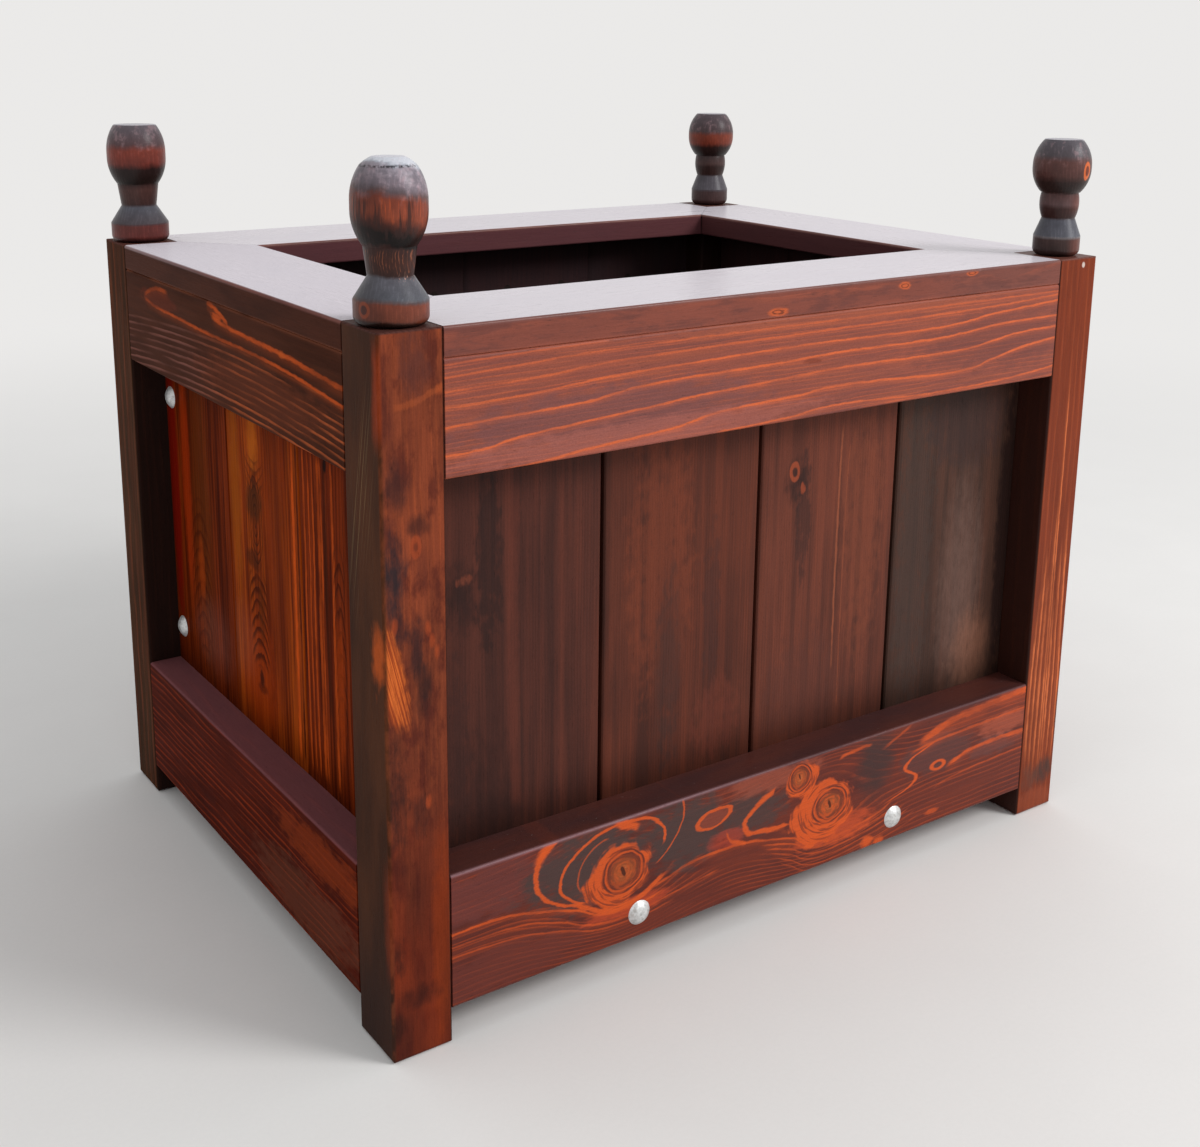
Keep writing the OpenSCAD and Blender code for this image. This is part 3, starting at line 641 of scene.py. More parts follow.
def bottom_rail_front():
    tone = Tone((72, 34, 32), (102, 45, 34), (120, 51, 34), (206, 84, 34))
    grey = (74, 56, 53)
    b = Board("bottom_rail_front", "xzy", 7.4, tone, gap=5.2, wave=12, lines=0.3, mottle=0.7,
              streaks=0.45, fibre=0.2,
              pushes=((-168, 97, 70, 46, 1.5), (60, 95, 75, 46, 1.3)))
    b.stains(
        (-285, 122, 90, 26, (104, 54, 50), 0.7),
        (-290, 50, 90, 24, (104, 50, 42), 0.65),
        (-205, 112, 66, 38, grey, 0.95),
        (-100, 112, 50, 36, grey, 0.95),
        (-30, 110, 44, 24, grey, 0.85),
        (-5, 135, 60, 12, (146, 74, 56), 0.7),
        (123, 116, 26, 38, (64, 45, 43), 0.9, 0.8, SOFT),
        (205, 104, 55, 22, (90, 54, 50), 0.8),
        (285, 92, 40, 12, (98, 60, 56), 0.7),
        (300, 112, 40, 12, (170, 84, 60), 0.6),
        (-160, 62, 45, 9, (190, 72, 40), 0.6),
        (-55, 92, 22, 10, (166, 62, 44), 0.6),
        (75, 62, 55, 14, (196, 78, 40), 0.7),
    )
    low_front_lines(b)
    low_front_arcs(b)
    low_front_knots(b)
    low_front_ledge(b)
    b.done(0.36, 0.12, relief=0.45)


def left_bow(u):
    """Lets the grain fall off towards both ends of the rail."""
    return square((u + 15) / 220) * 9


def top_rail_left():
    tone = Tone((52, 28, 20), (74, 40, 28), (90, 48, 32), (192, 82, 36))
    b = Board("top_rail_left", "yzx", 2.3, tone, gap=6.4, wave=3, lines=0.0, line_at=(0.5, 0.84),
              mottle=0.6, streaks=0.4, fibre=0.16, bow=left_bow)
    low_half = b.below(b.v + left_bow(b.u), 512, 522)
    pale = b.blend(b.smooth(b.u, -60, 90), (176, 88, 50), (122, 76, 66))
    b.tint(b.rings * low_half, pale)
    b.stain(-90, 490, 150, 22, (104, 52, 34), 0.5)
    b.flow(((-252, 507), (-200, 512), (-100, 518.5), (40, 520.5), (100, 522.5), (150, 524),
            (178, 527), (190, 531)), 3.0, 0.9)
    b.stain(150, 532, 50, 9, (104, 48, 34), 0.6)
    b.flow(((120, 541), (145, 542), (165, 539), (178, 535), (190, 530)), 4.0, 0.6)
    b.flow(((-252, 521), (-180, 526), (-130, 529), (-60, 531), (-20, 532.5), (8, 535),
            (20, 538)), 4.0)
    b.flow(((-22, 534), (-5, 541), (10, 545), (28, 547.5)), 4.5, soft=5)
    b.stains(
        (5, 538, 14, 4, tone.line, 0.8),
        (-130, 529, 8, 4, (196, 90, 40), 0.7),
    )
    paint_light_in_seam(b, SEAM_LIGHT_LEFT)
    b.done(0.4, DULL)


def bottom_rail_left():
    tone = Tone((51, 18, 12), (76, 25, 15), (99, 34, 17), (168, 62, 23))
    b = Board("bottom_rail_left", "yzx", 5.7, tone, gap=7, wave=16, lines=0.5)
    b.stains(
        (-170, 118, 90, 20, (134, 54, 24), 0.6),
        (-140, 60, 120, 30, (104, 60, 44), 0.5),
    )
    # painted sheen: the ledge's top is tinted pale mauve, standing in for the sky reflected on it
    top = b.smooth(b.z, LEDGE_Z - 2.5, LEDGE_Z - 0.6)
    b.tint(top * 0.85, (122, 76, 79))
    b.done(0.4, DULL)


def plain_rails():
    """Rails on the two sides that the photograph doesn't show."""
    long_tone = Tone((96, 56, 50), (130, 70, 56), (150, 80, 58), (196, 92, 52))
    short_tone = Tone((66, 38, 32), (92, 48, 38), (108, 58, 42), (166, 74, 38))
    for k, node in enumerate(("top_rail_back", "bottom_rail_back")):
        b = Board(node, "xzy", 11.0 + 3 * k, long_tone, gap=11, lean=0.03, wave=26, lines=0.75,
                  pushes=((140 - 260 * k, 505 - 400 * k, 60, 26, 1.4),))
        b.knot(140 - 260 * k, 505 - 400 * k, 15, 13, lean=(-4, -2))
        b.done(0.4, 0.12)
    for k, node in enumerate(("top_rail_right", "bottom_rail_right")):
        b = Board(node, "yzx", 17.0 + 3 * k, short_tone, gap=9, lean=-0.03, wave=22, lines=0.7)
        b.stain(60 - 90 * k, 515 - 420 * k, 70, 12, short_tone.line, 0.4)
        b.done(0.4, 0.08)


# Panel boards


def painted_board_shade(b, side):
    """Painted shade: darker towards the board's edges and beside the rails above and below it, where
    the neighbouring parts shade it.
    """
    low, high = span(b.name)
    v0, v1 = (low.x, high.x) if side in ("front", "back") else (low.y, high.y)
    rim = b.between(b.v, v0 - 1, v0 + 9, v1 - 9, v1 + 1)
    foot = b.smooth(b.u, LEDGE_Z - 10, LEDGE_Z + 50)
    head = b.below(b.u, TOP_RAIL_LOW - 40, TOP_RAIL_LOW + 6)
    return (0.72 + rim * 0.28) * (0.55 + foot * 0.45) * (0.75 + head * 0.25)


def inside_mask(b, side):
    """1 on the board's inner face."""
    low, high = span(b.name)
    if side == "front":
        return b.smooth(b.y, high.y - 2, high.y - 1)
    if side == "back":
        return b.below(b.y, low.y + 1, low.y + 2)
    if side == "left":
        return b.smooth(b.x, high.x - 2, high.x - 1)
    return b.below(b.x, low.x + 1, low.x + 2)


def finish_board(b, side, rough=0.4, specular=0.08):
    shade = painted_board_shade(b, side)
    # painted shade: the inner face is darkened, as the inside of the box lies in shade
    b.tint(inside_mask(b, side) * 0.8, (62, 50, 54))
    b.done(rough, specular, shade=shade, relief=0.3)


def front_board_first(b):
    """Dark blotches beside the post and low down, partly mottles in the stain and partly painted shade
    by the post, and two faint streaks.
    """
    b.stains(
        (375, -272, 75, 12, (44, 30, 28), 0.6, 2.2),
        (352, -297, 26, 16, (40, 28, 27), 0.7, 1.8, HAZY),
        (366, -294, 5, 7, (122, 62, 44), 0.6, 2.4),
        (170, -290, 60, 40, (48, 29, 26), 0.55, 1.8, HAZY),
        (210, -305, 90, 16, (62, 38, 34), 0.5, 2.2),
    )
    b.flow(((160, -246), (300, -250), (440, -248)), 10, 0.4, (104, 52, 40), glow=0)
    b.flow(((160, -205), (300, -206), (440, -204)), 5, 0.4, (100, 52, 40), glow=0)


def front_board_second(b):
    """Redder patches and two darker streaks."""
    b.stains(
        (345, -105, 120, 34, (122, 60, 40), 0.45, 2.2, CRISP),
        (250, -96, 90, 13, (58, 42, 39), 0.65, 2.2, (-0.3, 1.8)),
        (290, -50, 80, 10, (66, 42, 38), 0.45, 2.2),
        (190, -42, 36, 26, (116, 56, 42), 0.4, 2.2, CRISP),
    )


def front_board_third(b):
    """Two pale streaks, and a small ringed knot in a dark patch."""
    b.flow(((200, 95), (300, 94), (440, 96)), 2.2, 0.7, (150, 82, 56), glow=0)
    b.flow(((160, 104), (300, 103), (420, 106)), 1.4, 0.6, (140, 74, 50), glow=0)
    b.stains(
        (330, 125, 120, 26, (126, 66, 46), 0.4, 2.2, CRISP),
        (362, 52, 62, 9, (60, 38, 34), 0.7, 2.0),
        (392, 43, 20, 12, (50, 32, 29), 0.8, 2.0, (-0.2, 1.8)),
    )
    b.oval(401, 40, 7, 4.5, 0.5, colour=(168, 78, 48), amount=0.6)
    b.stains(
        (384, 50, 6, 3, (160, 74, 46), 0.6, 2.6),
        (190, 60, 60, 50, (88, 50, 42), 0.5, 2.0),
    )


def front_board_fourth(b):
    """Grey, with a pale glow low down that is a painted reflection, and a dark edge by the post and a
    dark top under the rail that are painted shade.
    """
    b.stains(
        (300, 195, 180, 26, (66, 52, 47), 0.6, 2.0),
        # painted reflection: a pale glow low down
        (250, 262, 120, 30, (122, 92, 82), 0.5, 0.8, (-0.4, 1.6)),
        (178, 282, 46, 30, (146, 96, 74), 0.45, 0.8, (-0.4, 1.6)),
        # painted shade: dark under the rail and by the post
        (420, 260, 50, 60, (60, 44, 42), 0.6),
        (300, 322, 170, 14, (42, 28, 26), 0.85),
    )


def front_boards():
    tones = (
        Tone((50, 32, 29), (80, 44, 36), (104, 54, 41), (56, 31, 26)),
        Tone((54, 34, 30), (92, 48, 36), (116, 57, 39), (62, 33, 27)),
        Tone((66, 39, 33), (104, 55, 42), (124, 64, 46), (70, 38, 30)),
        Tone((52, 38, 33), (75, 50, 41), (94, 58, 45), (54, 38, 32)),
    )
    marks = (front_board_first, front_board_second, front_board_third, front_board_fourth)
    for k, tone in enumerate(tones):
        b = Board(f"front_board_{k + 1}", "zxy", 5.0 + 3.7 * k, tone, gap=2.9, wave=5,
                  lines=0.3, line_at=(0.35, 0.9), mottle=0.55, streaks=0.22, fibre=0.18,
                  run=300, bands=0.5)
        marks[k](b)
        finish_board(b, "front")


def back_boards():
    for k in range(4):
        node = f"back_board_{k + 1}"
        lift = 6 * ((k * 2) % 3)
        tone = Tone((58 + lift, 36, 32), (92 + lift, 50, 40), (112 + lift, 60, 44),
                    (66, 36, 29))
        b = Board(node, "zxy", 23.0 + 2.9 * k, tone, gap=5.6, wave=16, lines=0.55,
                  line_at=(0.35, 0.9), mottle=0.75, streaks=0.5, fibre=0.22)
        b.stain(260 + 60 * (k % 2), centre(node).x + 20, 70, 20, tone.dark, 0.6)
        finish_board(b, "back")


def left_board_back(b):
    """Red edge, a faint arch of grain and a hazy patch low down that is a painted reflection."""
    b.stains(
        (330, 150, 170, 26, (88, 42, 10), 0.6, 0.8, SOFT),
        (350, 190, 130, 12, (150, 44, 10), 0.7, 0.8, CRISP),
        (340, 224, 150, 14, (112, 14, 6), 0.85, 0.6),
    )
    rise = (b.u + square((b.v - 160) / 5) - 150) / 17
    away = square((b.v - 160) / 30) + square((b.u - 250) / 95)
    b.nest(rise, b.below(away, 0.4, 1.1), (66, 20, 5), 0.65)
    b.stains(
        (262, 160, 34, 9, (164, 62, 14), 0.5, 0.9, CRISP),
        # painted reflection: a pale hazy glare low down
        (200, 135, 38, 46, (140, 84, 72), 0.3, 0.8, (-0.9, 1.9)),
    )


def left_board_middle(b):
    """Amber tongue, a dark eye and a stack of arches above a small knot."""
    b.stains(
        (200, 20, 70, 40, (150, 52, 8), 0.7, 0.8, CRISP),
        (424, 19, 32, 13, (190, 96, 22), 0.8, 0.9, (0.1, 1.3)),
        (370, 62, 110, 13, (160, 80, 14), 0.6, 0.8, CRISP),
        (330, -30, 150, 16, (104, 38, 12), 0.5, 0.8, CRISP),
    )
    across = square((b.v - 18) / 17)
    tongue = b.window(b.u, 372, 412, 10) * b.below(across, 0.6, 2.4)
    b.nest((b.u - across * 9) / 9, tongue, (84, 34, 8), 0.6)
    far = (square((b.u - 350) / 46) + across).sqrt()
    b.stains(
        (368, 20, 22, 20, (78, 38, 14), 0.85, 1.0, (0.2, 1.3)),
        (311, 26, 10, 18, (72, 30, 12), 0.7, 1.0, (0.2, 1.3)),
    )
    b.nest(far * 5.5, b.below(far, 0.85, 1.15), (58, 24, 8), 0.75)
    arches = b.window(b.u, 205, 305, 14) * b.below(across, 0.7, 1.9)
    b.nest((b.u + across * 13) / 12.5, arches, (64, 20, 4), 0.85, (0.3, 0.8))
    b.stains(
        (265, 12, 30, 7, (92, 40, 8), 0.5, 1.4),
        (199, 17, 9, 6, (52, 18, 8), 0.85, 1.0),
        (190, 17, 6, 12, (66, 22, 8), 0.6, 1.0),
    )
    b.flow(((150, -64), (300, -65), (445, -66)), 5.0, 0.85, (208, 84, 24), glow=0)
    b.flow(((150, -73), (300, -74), (445, -74)), 4.0, 0.85, (66, 20, 6), glow=0)
    # painted reflection: a pale pink haze of glare
    b.stain(226, 58, 34, 30, (172, 94, 66), 0.28, 0.8, (-0.9, 1.9))


def left_board_front(b):
    """Straight stripes, and flames of grain next to the post."""
    for y, w in ((-88, 3), (-97, 2.4), (-105, 3), (-116, 5), (-121, 3), (-142, 4)):
        b.flow(((150, y - 2), (280, y + 1), (360, y - 1), (445, y + 1)), w,
               0.7, (196, 80, 24), glow=0)
    b.flow(((210, -131), (330, -128), (445, -132)), 5, 0.75, (64, 26, 10), glow=0)
    b.stain(436, -131, 7, 3.5, (24, 14, 12), 0.9, 0.5)
    side = square((b.v + 152) / 9)
    flame = b.window(b.u, 210, 380, 22) * b.below(side, 0.7, 2.0)
    b.nest((b.u + side * 16) / 19, flame, (60, 20, 6), 0.8)
    b.stain(250, -150, 70, 9, (176, 66, 14), 0.5, 0.9, CRISP)


def left_boards():
    """Orange-red boards; the first is nearest the back post."""
    tones = (
        Tone((58, 16, 4), (98, 31, 6), (136, 52, 14), (50, 13, 4)),
        Tone((78, 23, 5), (132, 48, 9), (178, 78, 18), (62, 18, 5)),
        Tone((58, 17, 5), (100, 32, 8), (144, 55, 17), (46, 14, 5)),
    )
    marks = (left_board_back, left_board_middle, left_board_front)
    order = sorted((f"left_board_{k + 1}" for k in range(3)), key=lambda n: -centre(n).y)
    for k, node in enumerate(order):
        b = Board(node, "zyx", 2.0 + 2.3 * k, tones[k], gap=6.0, wave=14, lines=0.6,
                  line_at=(0.4, 0.9), mottle=0.6, streaks=0.6, fibre=0.22, run=160, bands=0.6)
        marks[k](b)
        finish_board(b, "left", 0.36, DULL)


def right_boards():
    tone = Tone((84, 38, 24), (118, 54, 32), (140, 66, 38), (80, 36, 22))
    for k in range(3):
        node = f"right_board_{k + 1}"
        b = Board(node, "zyx", 31.0 + 3.1 * k, tone, gap=6.2, wave=20, lines=0.65,
                  line_at=(0.4, 0.9), mottle=0.65, streaks=0.5, fibre=0.2)
        b.stain(300 - 50 * k, centre(node).y, 80, 20, tone.dark, 0.5)
        finish_board(b, "right")


# Posts and finials


def shade_recess_faces(b):
    """Painted shade: the faces that look along the panels, between the rails, are darkened where the
    panels shade them.
    """
    low, high = span(b.name)
    sides = []
    for out, a, c in ((b.x, low.x, high.x), (b.y, low.y, high.y)):
        sides.append((out * (-1 if a > 0 else 1), -min(abs(a), abs(c))))
    inward = [b.smooth(out, at - 2.5, at - 0.8) for out, at in sides]
    b.tint(inward[0].max(inward[1]) * 0.9, (36, 24, 22))


def end_grain(b, colour, line):
    """Growth rings on the post's top end."""
    middle = centre(b.name)
    top = b.smooth(b.z, POST_H - 2.2, POST_H - 0.6)
    far = (square(b.x - middle.x - 60) + square(b.y - middle.y - 45)).sqrt()
    ring = b.smooth((far / 3.2 + b.wobble * 0.6).frac(), 0.3, 0.9)
    b.tint(top, b.blend(ring * 0.6, colour, line))


FRONT_LEFT_BLOTS = (
    # height, x, half height, half width, colour, amount
    (548, -353, 26, 13, (86, 50, 45), 0.7),
    (500, -374, 30, 8, (92, 46, 36), 0.5),
    (461, -369, 20, 12, (62, 38, 36), 0.8),
    (430, -352, 9, 10, (66, 38, 34), 0.8),
    (430, -377, 18, 9, (84, 42, 36), 0.7),
    (396, -372, 34, 10.5, (48, 40, 43), 0.95),
    (400, -350, 26, 6, (88, 44, 36), 0.5),
    (352, -367, 13, 7, (50, 36, 38), 0.85),
    (338, -355, 24, 7, (50, 36, 37), 0.85),
    (305, -350, 24, 8, (54, 36, 34), 0.85),
    (225, -374, 48, 11, (54, 34, 31), 0.9),
    (204, -355, 18, 8, (58, 35, 32), 0.75),
    (160, -374, 26, 9, (72, 34, 28), 0.7),
    (92, -377, 17, 9, (54, 30, 26), 0.85),
    (52, -357, 10, 18, (60, 30, 25), 0.8),
    (30, -379, 14, 10, (54, 30, 25), 0.8),
)


def front_left_side(b):
    """The side that faces left is nearly black, with orange near the corner."""
    left = b.below(b.x, -HALF_L + 0.6, -HALF_L + 3.6)
    dark = b.blend(b.broad, (62, 37, 26), (81, 48, 32))
    low_dark = b.below(b.z, 30, 150)
    dark = b.blend(low_dark * 0.6, dark, (46, 34, 32))
    strand = b.noise((b.y + b.z * 0.2) / 1.5, b.z / 110, 0.7, 2)
    feather = b.spot(b.z - 440, b.y + 262 + (b.z - 440) * 0.17, 62, 13)
    dark = b.blend(b.smooth(strand, 0.54, 0.66) * feather * 0.55, dark, (138, 112, 80))
    near = b.below(b.y + b.wobble * 8, -HALF_W + 4, -HALF_W + 13)
    near = near * (b.window(b.z, 480, 575, 30) + b.window(b.z, 60, 180, 40) * 0.5)
    dark = b.blend(near * 0.8, dark, (146, 58, 30))
    glow = b.spot(b.z - 333, b.y + 284, 28, 12)
    glow = b.smooth(glow + b.wobble * 0.8 + b.fray * 0.3, 0.25, 0.9)
    dark = b.blend(glow * 0.85, dark, (186, 84, 34))
    b.tint(left, dark)


def post_front_left():
    tone = Tone((90, 46, 34), (134, 65, 43), (154, 76, 47), (192, 94, 50))
    b = Board("post_front_left", "zxy", 4.0, tone, gap=5.5, wave=16, lines=0.16, mottle=0.7,
              streaks=0.35, fibre=0.24)
    cloud = b.smooth(b.noise(b.u / 34, b.v / 15, b.w / 15 + 2, 4, 0.6), 0.46, 0.66)
    b.tint(cloud * 0.72, (78, 36, 31))
    low_part = b.below(b.z, 90, 320)
    b.tint(low_part * 0.8, b.blend(b.broad * 0.9, (115, 43, 24), (62, 28, 24)))
    b.stain(100, -337, 90, 9, (134, 54, 25), 0.6, 0.9, CRISP)
    for z, x, tall, wide, colour, amount in FRONT_LEFT_BLOTS:
        b.stain(z, x, tall * 0.85, wide * 0.85, colour, amount, 2.0, (-0.4, 2.2))
    b.cross(((-372, 518), (-350, 521), (-340, 526), (-326, 531)), 5.0, 0.22)
    b.stain(528, -333, 4, 5, (186, 88, 46), 0.45, 2.6, (-0.6, 2.0))
    b.oval(414, -354, 6, 3.2, 0.7, colour=(160, 70, 40), amount=0.5, fill=(100, 46, 34))
    for z, x in ((378, -381), (357, -372), (350, -345), (340, -342), (331, -338), (212, -347)):
        b.stain(z, x, 5, 2.2, (164, 72, 40), 0.7, 3.0, (-1.0, 2.2))
    fan = b.noise((b.v + b.u * 0.25) / 1.5, b.u / 60, 0.4, 2, 0.5)
    fan = b.smooth(fan, 0.42, 0.62)
    area = square((b.u - 318) / 42) + square((b.v + 376 + (b.u - 318) * 0.2) / 11)
    area = b.below(area + b.wobble * 1.8 + b.fray * 0.8, 0.1, 1.5)
    b.tint(area * 0.8, (164, 70, 34))
    b.tint(area * fan * 0.85, (216, 112, 52))
    front_left_side(b)
    # painted highlight: broken, lighter streaks on the eased vertical corners, where they catch the
    # light
    edge = b.spot(b.x + HALF_L - 1.2, b.y + HALF_W - 1.2, 1.6, 1.6)
    edge = edge.max(b.spot(b.x - post_high.x + 1.2, b.y + HALF_W - 1.0, 1.3, 1.3))
    b.tint(edge * b.smooth(b.wobble, -0.1, 0.15) * 0.45, tone.light)
    shade_recess_faces(b)
    end_grain(b, (84, 52, 46), (58, 36, 33))
    b.done(0.38, 0.012)


def post_front_right():
    tone = Tone((90, 37, 20), (121, 50, 26), (134, 58, 31), (176, 84, 44))
    b = Board("post_front_right", "zxy", 5.9, tone, gap=8, wave=8, lines=0.3, mottle=0.5,
              streaks=0.4, fibre=0.2)
    for x, width, top in ((374, 2.4, 330), (367, 2.0, 300), (361, 2.6, 250), (355, 2.2, 340),
                          (349, 3.0, 270), (343, 2.2, 300), (337, 2.6, 250), (358, 1.6, 470)):
        bend = (x - 352) * 0.12
        b.flow(((30, x - bend), (110, x + bend), (200, x), (top, x - bend)), width,
               0.8, (212, 112, 64), soft=70)
    b.stains(
        (42, 366, 15, 14, (64, 50, 46), 0.85, 1.7, (-0.2, 1.7)),
        (38, 345, 13, 11, (92, 60, 50), 0.6, 2.0, HAZY),
        (92, 380, 46, 3.5, (60, 46, 42), 0.65, 1.6, (-0.2, 1.6)),
        (565, 362, 3, 2.4, (206, 190, 180), 0.9, 0.6),
        (12, 355, 14, 30, (148, 72, 46), 0.5),
    )
    shade_recess_faces(b)
    end_grain(b, (110, 66, 56), (74, 44, 38))
    b.done(0.4, 0.09)


def back_posts():
    for k, node in enumerate(("post_back_left", "post_back_right")):
        low = (44, 27, 18) if k == 0 else (76, 38, 27)
        mid = (67, 42, 25) if k == 0 else (104, 50, 33)
        tone = Tone(low, mid, (100, 52, 34), (150, 74, 44))
        b = Board(node, "zxy", 13.0 + 2.7 * k, tone, gap=8, wave=14, lines=0.3, mottle=0.6)
        b.stains(
            (420, centre(node).x, 60, 12, tone.dark, 0.6),
            (160, centre(node).x - 12, 50, 8, tone.dark, 0.6),
        )
        shade_recess_faces(b)
        end_grain(b, (96, 58, 50), (64, 38, 34))
        b.done(0.4, DULL if k == 0 else 0.05)


def finial(node, seed, bands, ragged, mark=None, tilt=0.0):
    """Turned and scorched finial: bands are (height over the post, sRGB colour). The top flat gets a
    painted sheen at low angles and the ball pinkish painted reflections.
    """
    g = Graph(node)
    middle = centre(node)
    height = g.z - POST_H
    top = span(node)[1].z - POST_H
    rag = g.noise(g.x / 11 + seed, g.y / 11, g.z / 24, 4, 0.62) - 0.5
    drip = g.noise(g.x / 3 + seed, g.y / 3, g.z / 40, 2) - 0.5
    sway = (rag + drip * 0.4) * ragged + (g.x - middle.x) * tilt
    level = height + sway * (g.smooth(height, 50, 60) * 0.65 + 0.35)
    g.colour = g.ramp(level, bands)
    fine = g.noise(g.x / 1.3 + seed, g.y / 1.3, g.z / 30, 3, 0.7)
    cloud = g.noise(g.x / 7 + seed, g.y / 7, g.z / 9, 4, 0.6)
    far = (square(g.x - middle.x + 70) + square(g.y - middle.y - 40)).sqrt()
    ring = g.between((far / 3.1 + rag * 1.4).frac(), 0.45, 0.85, 0.9, 1.0)
    ring = ring * g.smooth(cloud, 0.4, 0.6)
    reflection_patch = g.smooth(cloud, 0.52, 0.68)
    calm = 1 - g.smooth(height, top - 5.5, top - 3) * 0.7
    grain = 1 + ((fine - 0.5) * 0.3 + (cloud - 0.5) * 0.7 + ring * 0.22) * calm
    g.colour = g.scale_colour(g.colour, grain)
    # painted reflection: pinkish patches high on the ball
    g.tint(reflection_patch * g.smooth(height, 82, 96) * 0.3, (176, 142, 146))
    if mark:
        mark(g, height)
    # painted sheen: the top flat turns pale where it is seen at a low angle
    flat_sheen = g.smooth(height, top - 1.0, top - 0.3) * g.grazing()
    g.tint(flat_sheen * 0.6, (200, 196, 206))
    g.set(Base_Color=g.colour, Roughness=0.36 + (fine - 0.5) * 0.2 + (cloud - 0.5) * 0.2,
          Specular_IOR_Level=0.14, Coat_Weight=0.12, Coat_Roughness=0.25)
    turned = (height * 0.9 + rag * 1.2).frac()
    g.bump(fine * 0.6 + ring * 0.4 + g.smooth(turned, 0.0, 0.5) * 0.12, 0.5, 0.45)
    give(node, g.mat)


def loop(g, a, b, ra, rb, line, core, amount=0.95):
    """Small oval ring of bright grain with a dark middle."""
    far = (square(a / ra) + square(b / rb)).sqrt()
    near = g.below(far, 1.2, 1.4)
    wall = g.below((far - 0.85).abs(), 0.14, 0.34)
    g.tint(g.below(far, 0.6, 0.9) * 0.85, core)
    g.tint(wall * near * amount, line)


def mark_front_left(g, height):
    loop(g, g.y + 274, height - 13, 4.6, 5.4, (160, 74, 42), (74, 38, 32), 0.7)
    # painted shade: the finial's left side is darkened, away from the light
    left = g.below(g.x, -HALF_L + 2, -HALF_L + 14)
    g.tint(left * 0.35, (40, 26, 26))
    # scorched strokes run up the ball and down from its char
    stroke = g.noise(g.x / 4.5, g.y / 4.5, height / 60 + 3, 2, 0.6)
    ball = g.between(height, 58, 66, 86, 94)
    bright = g.noise(g.x / 1.6 + 9, g.y / 1.6, height / 26, 2, 0.6)
    lit = ball * g.smooth(height, 71, 78)
    g.tint(g.smooth(bright, 0.56, 0.7) * lit * 0.7, (178, 80, 42))
    g.tint(g.smooth(stroke, 0.5, 0.63) * ball * 0.82, (50, 30, 27))
    # the slate part is patchy: slate grey, with pinkish patches left between that are painted
    # reflections
    patch = g.smooth(g.noise(g.x / 9 + 4, g.y / 9, height / 6, 4, 0.6), 0.42, 0.6)
    slate = g.between(height, 88, 96, 108, 111)
    g.tint(slate * (1 - patch) * 0.5, (80, 76, 84))
    # light grain lines that bow along the neck
    wave = g.noise(g.x / 5, g.y / 5, height / 9, 2)
    bow = (g.x - g.y) * 0.34 - square(height - 45) * 0.006 + wave * 1.8
    strand = g.between(bow.frac(), 0.66, 0.82, 0.86, 0.98)
    strand = strand * g.smooth(wave, 0.44, 0.6)
    neck = g.between(height, 36, 39, 52, 55)
    g.tint(strand * neck * 0.5, (166, 96, 66))
    # a chipped dark line below the dome, and a painted highlight of pale dashes where the neck starts
    chip = g.noise(g.x / 3, g.y / 3, 2.0, 3, 0.7)
    rim = g.bell(height - 111, 0.9)
    g.tint(rim * g.smooth(chip, 0.42, 0.56), (34, 30, 36))
    highlight_dash = g.smooth(g.noise(g.x / 1.1, g.y / 1.1, 5.0, 1), 0.6, 0.7)
    foot = g.bell(height - 34.4, 2.2)
    right = g.smooth(g.x, -362, -352)
    g.tint(highlight_dash * foot * right * 0.8, (214, 160, 140))


def mark_front_right(g, height):
    front = g.below(g.y, -276, -268)
    plain = g.colour
    loop(g, g.x - 358.5, height - 81, 4.6, 8.0, (206, 100, 50), (116, 48, 24))
    g.colour = g.blend(front, plain, g.colour)
    warm = g.smooth(g.x - g.y, 628, 648)
    low = g.below(height, 15, 19)
    g.tint(warm * low * 0.6, (118, 66, 54))
    bead = g.bell(height - 50, 8)
    g.tint(warm * bead * 0.5, (128, 66, 48))


